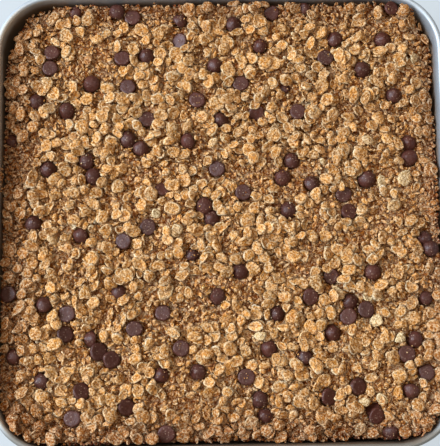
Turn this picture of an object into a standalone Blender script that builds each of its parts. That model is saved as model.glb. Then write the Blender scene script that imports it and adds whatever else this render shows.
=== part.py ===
"""Uncut granola bar slab in its baking tin.

Two pieces: a pressed sheet-metal tin with a rolled rim, and the baked slab
of granola bars that rests in it. Units are metres, +Z is up. The origin is
the middle of the tin's underside, where it stands on a surface.
"""
import bpy
import bmesh
from math import cos, sin, pi, radians, tan, hypot
from mathutils import Vector, noise

# ---------------------------------------------------------------- sizes
TIN_INSIDE_X = 0.229        # inside width at the rim
TIN_INSIDE_Y = 0.232        # inside length at the rim
TIN_CORNER_R = 0.0285       # plan radius of the inside corners at the rim
TIN_HEIGHT = 0.040          # underside to the top of the rolled rim
TIN_WALL = 0.0011           # sheet thickness
TIN_DRAFT = radians(2.5)    # lean of the walls
TIN_FLOOR_R = 0.0060        # fillet between floor and wall, inside
BEAD_R = 0.0016             # rolled rim, section radius
CORNER_STEPS = 9            # straight facets round each corner

SLAB_BOTTOM = TIN_WALL + 0.0003     # rests on the floor
SLAB_TOP = 0.0298                   # mean height of the top face
SLAB_SHIFT = (0.0, 0.0006)          # it lies nearer one of the walls
SLAB_GAP = (0.0006, 0.0010)         # least gap to the walls, before the shift
SLAB_CORNER_R = 0.0300              # corners are rounder than the tin's
SLAB_LUMP = 0.0016                  # height of the lumps on the top
SLAB_EDGE_LUMP = 0.0013             # depth of the crumbly edge
SLAB_SHOULDER = 0.0032              # drop of the top at the very edge
SLAB_GRID = 44                      # cells across the top
SLAB_BOTTOM_R = 0.0070              # rounded lower edge, follows the tin


def clear_scene():
    for obj in list(bpy.data.objects):
        bpy.data.objects.remove(obj, do_unlink=True)


def make_collection(name):
    coll = bpy.data.collections.new(name)
    bpy.context.scene.collection.children.link(coll)
    return coll


def make_material(name, colour, roughness, metallic):
    mat = bpy.data.materials.new(name)
    mat.use_nodes = True
    bsdf = mat.node_tree.nodes["Principled BSDF"]
    bsdf.inputs["Base Color"].default_value = (*colour, 1.0)
    bsdf.inputs["Roughness"].default_value = roughness
    bsdf.inputs["Metallic"].default_value = metallic
    mat.diffuse_color = (*colour, 1.0)
    return mat


def add_object(name, mesh, coll, mat=None):
    obj = bpy.data.objects.new(name, mesh)
    coll.objects.link(obj)
    if mat is not None:
        mesh.materials.clear()
        mesh.materials.append(mat)
    return obj


def rounded_rect(half_x, half_y, radius, steps):
    """Points of a rounded rectangle, counter-clockwise from the +X side."""
    points = []
    for quarter in range(4):
        cx = (half_x - radius) * (1 if quarter in (0, 3) else -1)
        cy = (half_y - radius) * (1 if quarter in (0, 1) else -1)
        for i in range(steps + 1):
            a = pi / 2 * (quarter + i / steps)
            points.append((cx + radius * cos(a), cy + radius * sin(a)))
    return points


def inside_half(z):
    """Half sizes and corner radius of the tin's inside at height z."""
    lean = (TIN_HEIGHT - BEAD_R - z) * tan(TIN_DRAFT)
    return (TIN_INSIDE_X / 2 - lean, TIN_INSIDE_Y / 2 - lean,
            TIN_CORNER_R - lean)


# ------------------------------------------------------------------ tin
def tin_shell(coll, mat):
    """Inner surface from a drafted, bevelled block; Solidify adds the sheet."""
    top_z = TIN_HEIGHT - BEAD_R
    bm = bmesh.new()
    bmesh.ops.create_cube(bm, size=1.0)
    for v in bm.verts:
        z = top_z if v.co.z > 0 else TIN_WALL
        hx, hy, _ = inside_half(z)
        v.co = Vector((hx if v.co.x > 0 else -hx, hy if v.co.y > 0 else -hy, z))
    upright = [e for e in bm.edges
               if abs(e.verts[0].co.z - e.verts[1].co.z) > 0.01]
    bmesh.ops.bevel(bm, geom=upright, offset=TIN_CORNER_R, offset_type='OFFSET',
                    segments=CORNER_STEPS, profile=0.5, affect='EDGES')
    low = [e for e in bm.edges
           if max(v.co.z for v in e.verts) < TIN_WALL + 1e-5
           and any(abs(f.normal.z) < 0.5 for f in e.link_faces)]
    bmesh.ops.bevel(bm, geom=low, offset=TIN_FLOOR_R, offset_type='OFFSET',
                    segments=3, profile=0.5, affect='EDGES')
    lid = [f for f in bm.faces if f.calc_center_median().z > top_z - 1e-5]
    bmesh.ops.delete(bm, geom=lid, context='FACES')
    bmesh.ops.recalc_face_normals(bm, faces=bm.faces)
    # normals point outwards, so a positive offset thickens outwards
    mesh = bpy.data.meshes.new("tin")
    bm.to_mesh(mesh)
    bm.free()
    obj = add_object("tin", mesh, coll, mat)
    shell = obj.modifiers.new("sheet", 'SOLIDIFY')
    shell.thickness = TIN_WALL
    shell.offset = 1.0
    shell.use_even_offset = True
    shell.use_rim = True
    return obj


def tin_bead(coll):
    """Rolled rim: a round bar along the top edge, made a mesh for the union."""
    inset = BEAD_R - 0.00006
    z = TIN_HEIGHT - BEAD_R
    path = rounded_rect(TIN_INSIDE_X / 2 + inset, TIN_INSIDE_Y / 2 + inset,
                        TIN_CORNER_R + inset, CORNER_STEPS)
    curve = bpy.data.curves.new("rim_path", 'CURVE')
    curve.dimensions = '3D'
    curve.bevel_depth = BEAD_R
    curve.bevel_resolution = 2
    spline = curve.splines.new('POLY')
    spline.points.add(len(path) - 1)
    for p, (x, y) in zip(spline.points, path):
        p.co = (x, y, z, 1.0)
    spline.use_cyclic_u = True
    guide = bpy.data.objects.new("rim_path", curve)
    coll.objects.link(guide)
    bpy.context.view_layer.update()
    deps = bpy.context.evaluated_depsgraph_get()
    mesh = bpy.data.meshes.new_from_object(guide.evaluated_get(deps))
    bm = bmesh.new()
    bm.from_mesh(mesh)
    bmesh.ops.remove_doubles(bm, verts=bm.verts, dist=0.00001)
    bmesh.ops.recalc_face_normals(bm, faces=bm.faces)
    bm.to_mesh(mesh)
    bm.free()
    bead = add_object("rim_bead", mesh, coll)
    bead.matrix_world = guide.matrix_world
    bpy.data.objects.remove(guide, do_unlink=True)
    bead.hide_render = True
    bead.display_type = 'WIRE'
    return bead


def make_tin(parts, cutters, mat):
    tin = tin_shell(parts, mat)
    bead = tin_bead(cutters)
    join = tin.modifiers.new("rolled_rim", 'BOOLEAN')
    join.operation = 'UNION'
    join.object = bead
    join.solver = 'EXACT'
    return tin


# ----------------------------------------------------------------- slab
def to_ring(u, v, half_x, half_y, radius):
    """Map a point of the unit square to a rounded rectangle, ring by ring."""
    s = max(abs(u), abs(v))
    x, y = u * half_x, v * half_y
    r = radius * s
    ax, ay = s * half_x - r, s * half_y - r
    dx, dy = abs(x) - ax, abs(y) - ay
    if dx > 0 and dy > 0:
        # corner cell: slide the square's corner onto its arc
        t = dy / (dx + dy) if dx >= dy else 1 - dx / (dx + dy)
        a = pi / 2 * t
        x = (ax + r * cos(a)) * (1 if x >= 0 else -1)
        y = (ay + r * sin(a)) * (1 if y >= 0 else -1)
    return x, y


def edge_noise(x, y, z):
    """How far the crumbly side is drawn in, from 0 to 1."""
    big = noise.noise(Vector((x, y, z)) * 42.0)
    small = noise.noise(Vector((x, y, z * 1.4)) * 150.0 + Vector((7, 3, 1)))
    return min(1.0, max(0.0, 0.45 + 0.45 * big + 0.55 * small))


def top_height(x, y):
    """Height of the top: lumps about 12 mm across on gentle swells."""
    lump = noise.noise(Vector((x, y, 0.31)) * 85.0)
    grain = noise.noise(Vector((x, y, 0.77)) * 190.0)
    swell = noise.noise(Vector((x, y, 0.12)) * 16.0)
    z = SLAB_TOP + SLAB_LUMP * (0.75 * lump + 0.5 * grain + 0.55 * swell)
    hx, hy, _ = inside_half(SLAB_TOP)
    dx = max(abs(x) - (hx - SLAB_GAP[0] - SLAB_CORNER_R), 0.0)
    dy = max(abs(y) - (hy - SLAB_GAP[1] - SLAB_CORNER_R), 0.0)
    inset = SLAB_CORNER_R - hypot(dx, dy)
    drop = max(0.0, 1.0 - inset / 0.009)
    return z - SLAB_SHOULDER * drop * drop


def side_point(u, v, z, extra):
    """A point of the slab's side at height z, drawn in by extra."""
    hx, hy, _ = inside_half(z)
    gap = extra
    # the lower edge is rounded, and stays clear of the tin's floor fillet
    low = SLAB_BOTTOM_R - (z - SLAB_BOTTOM)
    if low > 0:
        gap += SLAB_BOTTOM_R - (max(SLAB_BOTTOM_R ** 2 - low ** 2, 0.0)) ** 0.5
    return to_ring(u, v, hx - SLAB_GAP[0] - gap, hy - SLAB_GAP[1] - gap,
                   SLAB_CORNER_R - extra)


def make_slab(coll, mat):
    bm = bmesh.new()
    bmesh.ops.create_grid(bm, x_segments=SLAB_GRID, y_segments=SLAB_GRID,
                          size=1.0)
    rim_uv = {}
    for vert in bm.verts:
        u, v = vert.co.x, vert.co.y
        s = max(abs(u), abs(v))
        hx, hy, _ = inside_half(SLAB_TOP - SLAB_SHOULDER)
        x, y = to_ring(u, v, hx - SLAB_GAP[0] - 0.0006,
                       hy - SLAB_GAP[1] - 0.0006, SLAB_CORNER_R)
        if s > 0.999:
            pull = edge_noise(x, y, SLAB_TOP) * SLAB_EDGE_LUMP
            x, y = side_point(u, v, SLAB_TOP - SLAB_SHOULDER, 0.0003 + pull)
            rim_uv[vert] = (u, v)
        vert.co = Vector((x, y, top_height(x, y)))
    # the sides: the rim is drawn down in steps, each row with its own lumps
    for z in (0.0225, 0.0170, 0.0115, 0.0070, 0.0035, SLAB_BOTTOM):
        edges = [e for e in bm.edges if e.is_boundary]
        out = bmesh.ops.extrude_edge_only(bm, edges=edges)
        new = [g for g in out["geom"] if isinstance(g, bmesh.types.BMVert)]
        old_uv = dict(rim_uv)
        rim_uv = {}
        for vert in new:
            source = min((e.other_vert(vert) for e in vert.link_edges
                          if e.other_vert(vert) in old_uv),
                         key=lambda o: (o.co - vert.co).length)
            u, v = old_uv[source]
            x, y = side_point(u, v, z, 0.0)
            pull = edge_noise(x, y, z) * SLAB_EDGE_LUMP
            if z <= SLAB_BOTTOM:
                pull = 0.0004
            x, y = side_point(u, v, z, pull)
            vert.co = Vector((x, y, z))
            rim_uv[vert] = (u, v)
    last = [e for e in bm.edges if e.is_boundary]
    bmesh.ops.contextual_create(bm, geom=last)
    bmesh.ops.recalc_face_normals(bm, faces=bm.faces)
    bmesh.ops.triangulate(bm, faces=bm.faces)
    bmesh.ops.translate(bm, verts=bm.verts, vec=(*SLAB_SHIFT, 0.0))
    mesh = bpy.data.meshes.new("granola_slab")
    bm.to_mesh(mesh)
    bm.free()
    obj = add_object("granola_slab", mesh, coll, mat)
    mesh.shade_smooth()
    return obj


def main():
    clear_scene()
    parts = make_collection("granola_bar_slab_in_tin")
    cutters = make_collection("joining_pieces")
    metal = make_material("tin_metal", (0.44, 0.44, 0.42), 0.38, 1.0)
    baked = make_material("baked_oats", (0.40, 0.21, 0.075), 0.75, 0.0)
    tin = make_tin(parts, cutters, metal)
    tin.data.shade_smooth()
    tin.data.set_sharp_from_angle(angle=radians(40))
    make_slab(parts, baked)


main()
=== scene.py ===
"""Looks of the uncut granola bar slab in its baking tin: tin, granola core, oat flakes, crumbs and chocolate drops."""
import math

import bpy
import numpy as np
from mathutils import Matrix, Vector


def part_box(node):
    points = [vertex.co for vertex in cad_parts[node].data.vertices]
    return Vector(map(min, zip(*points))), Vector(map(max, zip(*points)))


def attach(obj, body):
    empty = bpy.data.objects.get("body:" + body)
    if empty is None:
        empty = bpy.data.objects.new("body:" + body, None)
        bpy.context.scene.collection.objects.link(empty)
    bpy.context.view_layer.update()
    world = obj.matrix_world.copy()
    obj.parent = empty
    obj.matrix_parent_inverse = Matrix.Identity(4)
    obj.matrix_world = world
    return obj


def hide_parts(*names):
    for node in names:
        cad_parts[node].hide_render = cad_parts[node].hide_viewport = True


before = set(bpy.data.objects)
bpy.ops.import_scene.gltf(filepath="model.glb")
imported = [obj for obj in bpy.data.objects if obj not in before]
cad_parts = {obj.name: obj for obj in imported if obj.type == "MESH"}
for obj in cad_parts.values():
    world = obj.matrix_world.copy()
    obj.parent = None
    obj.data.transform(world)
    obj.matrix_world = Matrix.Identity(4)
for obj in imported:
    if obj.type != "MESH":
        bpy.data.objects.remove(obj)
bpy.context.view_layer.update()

MM = 0.001
rng = np.random.default_rng(20417)

# ------------------------------------------------------------------ sizes, from the frame
TIN_LOW, TIN_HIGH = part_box("tin")
SLAB_LOW, SLAB_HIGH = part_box("granola_slab")
BEAD_R = 1.6 * MM  # rolled rim's radius
WALL = 1.1 * MM
LEAN = math.tan(math.radians(2.5))  # the walls lean outwards
RIM_Z = TIN_HIGH.z - BEAD_R  # middle height of the rolled rim
INNER_X = TIN_HIGH.x - 2 * BEAD_R + 0.06 * MM  # inside half sizes at RIM_Z
INNER_Y = TIN_HIGH.y - 2 * BEAD_R + 0.06 * MM
INNER_R = 28.5 * MM
FLOOR_R = 6.0 * MM
TOP_Z = 30.2 * MM  # mean height of the granola's surface

# gap between the granola and the wall in mm, by direction from the middle in degrees
GAPS = np.array([
    (-180, 0.2), (-160, 0.3), (-150, 0.4), (-138, 0.2), (-133, 0.3), (-126, 0.6), (-112, 1.3), (-98, 1.7), (-81, 1.9),
    (-75, 1.2), (-70, 0.5), (-63, 1.4), (-56, 2.0), (-51, 1.6), (-47, 0.3), (-42, 0.2), (-35, 0.4), (-20, 0.7), (-6, 0.9),
    (9, 1.2), (14, 0.8), (19, 0.3), (24, 0.6), (27.5, 2.0), (31, 2.6), (34, 0.6), (37, 0.4), (40, 1.4), (43, 1.8),
    (45.5, 0.5), (49, 0.3), (60, 0.4), (82, 0.5), (95, 0.3), (112, 0.2), (121, 0.3), (125.5, 0.4), (128, 1.2), (132, 1.6),
    (134.5, 2.1), (136.5, 3.7), (140, 3.7), (142, 2.4), (144, 0.9), (150, 0.7), (160, 0.6), (171, 0.2), (180, 0.2),
])
# where the granola is heaped up against the wall: x, y, height, breadth in mm
HEAPS = ((100.5, 111.0, 8.5, 7.5), (86.0, 113.0, 3.5, 9.0), (-106.5, -108.5, 9.0, 9.0), (100.0, -111.5, 8.6, 8.0), (86.0, -114.0, 4.5, 7.0), (20.0, 115.0, 1.6, 45.0), (-60.0, 115.0, 1.6, 35.0),
         (-90.0, -114.0, 4.5, 8.0), (-75.0, -115.0, 4.5, 8.0), (-60.0, -115.0, 4.5, 9.0), (-45.0, -115.0, 3.5, 8.0), (114.0, 12.0, 3.0, 9.0))
# big clumps of stuck crumbs in one corner: x, y, radius
CLUMPS = ((-102.7, -96.5, 3.4), (-92.6, -105.5, 3.7), (-94.2, -98.1, 3.9), (-97.5, -109.9, 2.6), (-88.2, -101.6, 3.0), (-104.6, -101.9, 2.8), (-84.6, -109.1, 2.8), (-98.7, -101.5, 3.0), (-88.8, -93.7, 2.6), (-106.3, -90.0, 2.4))


# ------------------------------------------------------------------ small maths helpers
def lattice(ix, iy, iz, seed):
    n = (ix * 73856093) ^ (iy * 19349663) ^ (iz * 83492791) ^ (seed * 265443576)
    n = n & 0xFFFFFFFF
    n = ((n ^ (n >> 13)) * 1274126177) & 0xFFFFFFFF
    n = ((n ^ (n >> 15)) * 668265263) & 0xFFFFFFFF
    return ((n ^ (n >> 16)) & 0xFFFF) / 32767.5 - 1.0


def noise(p, scale, seed):
    """Smooth noise from -1 to 1 at points p (..., 3), with features about scale across."""
    q = p / scale
    i = np.floor(q).astype(np.int64)
    f = q - i
    f = f * f * f * (f * (f * 6 - 15) + 10)
    out = np.zeros(p.shape[:-1])
    for dx in (0, 1):
        wx = f[..., 0] if dx else 1 - f[..., 0]
        for dy in (0, 1):
            wy = wx * (f[..., 1] if dy else 1 - f[..., 1])
            for dz in (0, 1):
                w = wy * (f[..., 2] if dz else 1 - f[..., 2])
                out += w * lattice(i[..., 0] + dx, i[..., 1] + dy, i[..., 2] + dz, seed)
    return out


def grains(p, size, seed):
    """Packed grains about size across: distance from each point to the nearest grain's middle, in sizes, and that grain's own number 0..1."""
    q = p / size
    i = np.floor(q).astype(np.int64)
    best = np.full(p.shape[:-1], 9.0)
    own = np.zeros(p.shape[:-1])
    for dx in (-1, 0, 1):
        for dy in (-1, 0, 1):
            for dz in (-1, 0, 1):
                c = i + (dx, dy, dz)
                at = [c[..., k] + 0.5 + 0.40 * lattice(c[..., 0], c[..., 1], c[..., 2], seed + 7 * k) for k in range(3)]
                d = np.sqrt(sum((q[..., k] - at[k]) ** 2 for k in range(3)))
                near = d < best
                best = np.where(near, d, best)
                own = np.where(near, lattice(c[..., 0], c[..., 1], c[..., 2], seed + 91) * 0.5 + 0.5, own)
    return best, own


def flat3(x, y, z=0.0):
    return np.stack(np.broadcast_arrays(x, y, z), -1).astype(float)


def smoothstep(lo, hi, x):
    t = np.clip((x - lo) / (hi - lo), 0, 1)
    return t * t * (3 - 2 * t)


def linear(r, g, b):
    """sRGB 0..255 to linear 0..1."""
    c = np.array([r, g, b], float) / 255
    return np.where(c <= 0.04045, c / 12.92, ((c + 0.055) / 1.055) ** 2.4)


def turn(axis, angle):
    """Rotation matrices (n, 3, 3) about axis (n, 3) by angle (n,)."""
    axis = axis / np.linalg.norm(axis, axis=-1, keepdims=True)
    c, s = np.cos(angle), np.sin(angle)
    x, y, z = axis[..., 0], axis[..., 1], axis[..., 2]
    k = 1 - c
    return np.stack(
        [
            np.stack([c + x * x * k, x * y * k - z * s, x * z * k + y * s], -1),
            np.stack([y * x * k + z * s, c + y * y * k, y * z * k - x * s], -1),
            np.stack([z * x * k - y * s, z * y * k + x * s, c + z * z * k], -1),
        ],
        -2,
    )


def any_turn(n):
    """n rotations, any way round."""
    q = rng.normal(size=(n, 4))
    q /= np.linalg.norm(q, axis=1, keepdims=True)
    w, x, y, z = q.T
    return np.stack(
        [
            np.stack([1 - 2 * (y * y + z * z), 2 * (x * y - z * w), 2 * (x * z + y * w)], -1),
            np.stack([2 * (x * y + z * w), 1 - 2 * (x * x + z * z), 2 * (y * z - x * w)], -1),
            np.stack([2 * (x * z - y * w), 2 * (y * z + x * w), 1 - 2 * (x * x + y * y)], -1),
        ],
        -2,
    )


# ------------------------------------------------------------------ outlines
def wall_distance(x, y, z):
    """Signed distance to the tin's inside wall at height z, negative inside."""
    lean = (RIM_Z - z) * LEAN
    qx = np.abs(x) - (INNER_X - lean) + INNER_R - lean
    qy = np.abs(y) - (INNER_Y - lean) + INNER_R - lean
    return (
        np.minimum(np.maximum(qx, qy), 0)
        + np.hypot(np.maximum(qx, 0), np.maximum(qy, 0))
        - (INNER_R - lean)
    )


def edge_distance(x, y):
    """Signed distance to the granola's outline, negative inside: the wall, less the gap to it."""
    gap = np.interp(np.degrees(np.arctan2(y, x)), GAPS[:, 0], GAPS[:, 1]) * MM
    return wall_distance(x, y, TOP_Z) + gap


def rounded_ring(half_x, half_y, radius, corner_steps, side_steps):
    """Points round a rounded rectangle, anticlockwise from the right side's lower end."""
    points = []
    corners = [(1, 1, 0), (-1, 1, 90), (-1, -1, 180), (1, -1, 270)]
    for k, (sx, sy, start) in enumerate(corners):
        ox, oy = sx * (half_x - radius), sy * (half_y - radius)
        for j in range(corner_steps + 1):
            a = math.radians(start + 90 * j / corner_steps)
            points.append((ox + radius * math.cos(a), oy + radius * math.sin(a)))
        nx, ny, _ = corners[(k + 1) % 4]
        a = math.radians(start + 90)
        x0, y0 = points[-1]
        x1 = nx * (half_x - radius) + radius * math.cos(a)
        y1 = ny * (half_y - radius) + radius * math.sin(a)
        for j in range(1, side_steps):
            t = j / side_steps
            points.append((x0 + (x1 - x0) * t, y0 + (y1 - y0) * t))
    return np.array(points)


def outline_at(angle):
    """Point of the granola's outline in each direction, found by halving."""
    lo, hi = np.zeros_like(angle), np.full_like(angle, 0.17)
    for _ in range(30):
        mid = (lo + hi) / 2
        out = edge_distance(mid * np.cos(angle), mid * np.sin(angle)) > 0
        lo, hi = np.where(out, lo, mid), np.where(out, mid, hi)
    return lo * np.cos(angle), lo * np.sin(angle)


# ------------------------------------------------------------------ meshes and nodes
def build_mesh(name, verts, faces, tone=None, uv=None, grain=None, smooth=True):
    """verts (n, 3); faces is a list of integer arrays, each (m, 3) or (m, 4); uv is given per corner in the same order.
    grain (n, 3) is where the material's pattern is read, so that it follows each piece."""
    me = bpy.data.meshes.new(name)
    verts = np.ascontiguousarray(verts, np.float32).reshape(-1, 3)
    loops = np.concatenate([f.ravel() for f in faces]).astype(np.int32)
    totals = np.concatenate([np.full(len(f), f.shape[1]) for f in faces]).astype(np.int32)
    starts = np.concatenate([[0], np.cumsum(totals)[:-1]]).astype(np.int32)
    me.vertices.add(len(verts))
    me.vertices.foreach_set("co", verts.ravel())
    me.loops.add(len(loops))
    me.loops.foreach_set("vertex_index", loops)
    me.polygons.add(len(totals))
    me.polygons.foreach_set("loop_start", starts)
    me.polygons.foreach_set("loop_total", totals)
    me.polygons.foreach_set("use_smooth", np.full(len(totals), smooth))
    if uv is not None:
        layer = me.uv_layers.new(name="OFBake")
        layer.uv.foreach_set("vector", np.ascontiguousarray(uv, np.float32).ravel())
    if tone is not None:
        a = me.attributes.new("tone", "FLOAT_COLOR", "POINT")
        rgba = np.ones((len(verts), 4), np.float32)
        rgba[:, : tone.shape[-1]] = tone.reshape(len(verts), -1)
        a.data.foreach_set("color", rgba.ravel())
    if grain is not None:
        a = me.attributes.new("grain", "FLOAT_VECTOR", "POINT")
        a.data.foreach_set("vector", np.ascontiguousarray(grain, np.float32).ravel())
    me.update(calc_edges=True)
    me.validate()
    ob = bpy.data.objects.new(name, me)
    bpy.context.scene.collection.objects.link(ob)
    return ob


def repeat_faces(faces, n, verts_each):
    """The faces of n copies, each list (m, k) to (n*m, k), copy by copy."""
    step = (np.arange(n) * verts_each)[:, None, None]
    return [(f[None] + step).reshape(-1, f.shape[1]) for f in faces]


def atlas(corner_uv_lists, n, fill=0.94):
    """Corner UVs for n copies: each copy gets a square cell of its own."""
    side = math.ceil(math.sqrt(n))
    cell = 1.0 / side
    k = np.arange(n)
    at = np.stack([k % side, k // side], -1) * cell
    out = []
    for uv in corner_uv_lists:
        inner = (uv - 0.5) * fill + 0.5
        out.append((at[:, None, :] + inner[None] * cell).reshape(-1, 2))
    return np.concatenate(out)


class Nodes:
    """A node material written in few words."""

    def __init__(self, name):
        self.mat = bpy.data.materials.new(name)
        self.mat.use_nodes = True
        self.tree = self.mat.node_tree
        self.tree.nodes.clear()
        self.out = self.tree.nodes.new("ShaderNodeOutputMaterial")
        self.bsdf = self.tree.nodes.new("ShaderNodeBsdfPrincipled")
        self.link(self.bsdf.outputs[0], self.out.inputs[0])
        self.co = self.tree.nodes.new("ShaderNodeTexCoord").outputs["Object"]

    def link(self, a, b):
        self.tree.links.new(a, b)

    def put(self, socket, value):
        if isinstance(value, bpy.types.NodeSocket):
            self.link(value, socket)
        else:
            socket.default_value = value

    def node(self, kind, **inputs):
        n = self.tree.nodes.new(kind)
        for key, value in inputs.items():
            if key.startswith("_"):
                setattr(n, key[1:], value)
            else:
                self.put(n.inputs[key.replace("_", " ")], value)
        return n

    def noise(self, scale, detail=2.0, rough=0.5, distortion=0.0, vector=None):
        n = self.node("ShaderNodeTexNoise", Scale=scale, Detail=detail, Roughness=rough, Distortion=distortion)
        self.link(vector or self.co, n.inputs["Vector"])
        return n.outputs["Fac"]

    def voronoi(self, scale, feature="F1", vector=None):
        n = self.node("ShaderNodeTexVoronoi", Scale=scale, _feature=feature)
        self.link(vector or self.co, n.inputs["Vector"])
        return n.outputs["Distance"]

    def cell_value(self, scale, vector=None):
        """Distance to the nearest cell's middle, and a number 0..1 of its own for each cell."""
        n = self.node("ShaderNodeTexVoronoi", Scale=scale)
        self.link(vector or self.co, n.inputs["Vector"])
        return n.outputs["Distance"], self.split(n.outputs["Color"])[0]

    def math(self, op, a, b=0.0, clamp=False):
        n = self.tree.nodes.new("ShaderNodeMath")
        n.operation = op
        n.use_clamp = clamp
        self.put(n.inputs[0], a)
        self.put(n.inputs[1], b)
        return n.outputs[0]

    def remap(self, x, a, b, c=0.0, d=1.0):
        n = self.tree.nodes.new("ShaderNodeMapRange")
        n.interpolation_type = "SMOOTHSTEP"
        for k, v in enumerate((x, a, b, c, d)):
            self.put(n.inputs[k], v)
        return n.outputs[0]

    def mix(self, fac, a, b, kind="MIX"):
        n = self.tree.nodes.new("ShaderNodeMix")
        n.data_type = "RGBA"
        n.blend_type = kind
        n.clamp_factor = True
        self.put(n.inputs[0], fac)
        self.put(n.inputs[6], (*a, 1) if isinstance(a, (tuple, list, np.ndarray)) else a)
        self.put(n.inputs[7], (*b, 1) if isinstance(b, (tuple, list, np.ndarray)) else b)
        return n.outputs[2]

    def mix_value(self, fac, a, b):
        n = self.tree.nodes.new("ShaderNodeMix")
        n.data_type = "FLOAT"
        self.put(n.inputs[0], fac)
        self.put(n.inputs[2], a)
        self.put(n.inputs[3], b)
        return n.outputs[0]

    def attribute(self, name):
        n = self.tree.nodes.new("ShaderNodeAttribute")
        n.attribute_name = name
        return n

    def split(self, vector):
        n = self.tree.nodes.new("ShaderNodeSeparateXYZ")
        self.link(vector, n.inputs[0])
        return n.outputs

    def stretch(self, sx, sy, sz, vector=None):
        n = self.tree.nodes.new("ShaderNodeMapping")
        n.inputs["Scale"].default_value = (sx, sy, sz)
        self.link(vector or self.co, n.inputs["Vector"])
        return n.outputs[0]

    def bump(self, height, strength, distance):
        n = self.node("ShaderNodeBump", Strength=strength, Distance=distance)
        self.link(height, n.inputs["Height"])
        self.link(n.outputs[0], self.bsdf.inputs["Normal"])


# ------------------------------------------------------------------ materials
def oat_material(name, rough=0.56, gloss=0.0, crumbly=0.0, streaky=1.0, cells=0.5):
    """Baked oats. The mesh's tone gives each piece's colour; bran streaks, sugar and stuck crumbs break it up, and
    painted shade darkens small pits and the seams and gaps between crumbs.
    """
    m = Nodes(name)
    tone = m.attribute("tone").outputs["Color"]
    at = m.attribute("grain").outputs["Vector"]
    blotch = m.noise(520, 2.0, 0.55, vector=at)
    mottle = m.noise(930, 2.0, 0.85, vector=at)
    streak = m.noise(1500, 1.0, 0.5, 0.4, vector=m.stretch(0.26, 1.0, 1.0, at))
    cell, own = m.cell_value(1100, at)
    brown = m.mix(1.0, tone, (0.56, 0.47, 0.33), "MULTIPLY")
    painted_deep_shade = m.mix(1.0, tone, (0.25, 0.11, 0.045), "MULTIPLY")
    light = m.mix(0.60, tone, (0.80, 0.645, 0.415))
    base = m.mix(m.math("MULTIPLY", m.remap(blotch, 0.48, 0.66), 0.50), tone, light)
    base = m.mix(m.math("MULTIPLY", m.remap(blotch, 0.48, 0.32), 0.40), base, brown)
    base = m.mix(m.math("MULTIPLY", m.remap(streak, 0.50, 0.34), 0.55 * streaky), base, brown)
    base = m.mix(m.math("MULTIPLY", m.remap(mottle, 0.475, 0.405), 0.96), base, brown)
    base = m.mix(m.math("MULTIPLY", m.remap(mottle, 0.525, 0.595), 0.94), base, light)
    # stuck crumbs: every cell a little lighter or darker, with painted shade as a dark line between some of them
    base = m.mix(m.math("MULTIPLY", m.remap(own, 0.70, 0.95), 0.70 * cells), base, light)
    base = m.mix(m.math("MULTIPLY", m.remap(own, 0.26, 0.04), 0.90 * cells), base, brown)
    # painted shade: small pits are darkened, and the bump below sinks them too
    pit, which = m.cell_value(1600, at)
    pits = m.math("MULTIPLY", m.remap(which, 0.66, 0.74), m.remap(pit, 0.52, 0.30))
    base = m.mix(m.math("MULTIPLY", pits, 0.75), base, painted_deep_shade)
    seam_shade = m.remap(cell, 0.56, 0.80)
    base = m.mix(m.math("MULTIPLY", seam_shade, 0.80 * cells), base, painted_deep_shade)
    m.put(m.bsdf.inputs["Base Color"], base)
    m.put(m.bsdf.inputs["Roughness"], m.remap(mottle, 0.3, 0.7, rough - 0.08, rough + 0.12))
    m.bsdf.inputs["Specular IOR Level"].default_value = gloss
    dome = m.math("SUBTRACT", 0.6, cell)
    height = m.math("ADD", m.math("MULTIPLY", mottle, 1.1), m.math("MULTIPLY", dome, 0.7 * cells))
    height = m.math("ADD", height, m.math("MULTIPLY", streak, 0.55 * streaky))
    height = m.math("SUBTRACT", height, m.math("MULTIPLY", pits, 0.5))
    if crumbly:
        # bigger crumbs, each a little lighter or darker, with painted shade in the gaps between them
        big, who = m.cell_value(520, at)
        height = m.math("ADD", height, m.math("MULTIPLY", m.math("SUBTRACT", 0.6, big), 1.1))
        gap = m.math("MULTIPLY", m.remap(big, 0.52, 0.78), 0.70 * crumbly)
        base = m.mix(m.math("MULTIPLY", m.remap(who, 0.62, 0.95), 0.55), base, light)
        base = m.mix(m.math("MULTIPLY", m.remap(who, 0.40, 0.05), 0.45), base, brown)
        base = m.mix(gap, base, painted_deep_shade)
        m.put(m.bsdf.inputs["Base Color"], base)
    m.bump(height, 1.0, 0.00055)
    return m.mat


def chocolate_material():
    m = Nodes("dark_chocolate")
    tone = m.attribute("tone").outputs["Color"]
    haze = m.remap(m.noise(260, 3.0, 0.6), 0.35, 0.70)
    fine = m.noise(1300, 2.0, 0.6)
    base = m.mix(m.math("MULTIPLY", haze, 0.45), tone, m.mix(1.0, tone, (1.42, 1.38, 1.46), "MULTIPLY"))
    base = m.mix(m.math("MULTIPLY", m.remap(fine, 0.44, 0.30), 0.60), base, m.mix(1.0, tone, (0.55, 0.45, 0.40), "MULTIPLY"))
    base = m.mix(m.math("MULTIPLY", m.remap(fine, 0.58, 0.70), 0.45), base, (0.16, 0.095, 0.075))
    dust, who = m.cell_value(1250)
    speck = m.math("MULTIPLY", m.remap(who, 0.80, 0.90), m.remap(dust, 0.42, 0.24))
    base = m.mix(m.math("MULTIPLY", speck, 0.75), base, (0.36, 0.24, 0.17))
    m.put(m.bsdf.inputs["Base Color"], base)
    m.put(m.bsdf.inputs["Roughness"], m.remap(m.noise(420, 2.0), 0.3, 0.7, 0.42, 0.54))
    m.bsdf.inputs["IOR"].default_value = 1.5
    m.bsdf.inputs["Specular IOR Level"].default_value = 0.38
    m.bump(m.math("ADD", m.noise(620, 2.0), m.math("MULTIPLY", fine, 0.6)), 1.0, 0.00030)
    return m.mat


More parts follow.
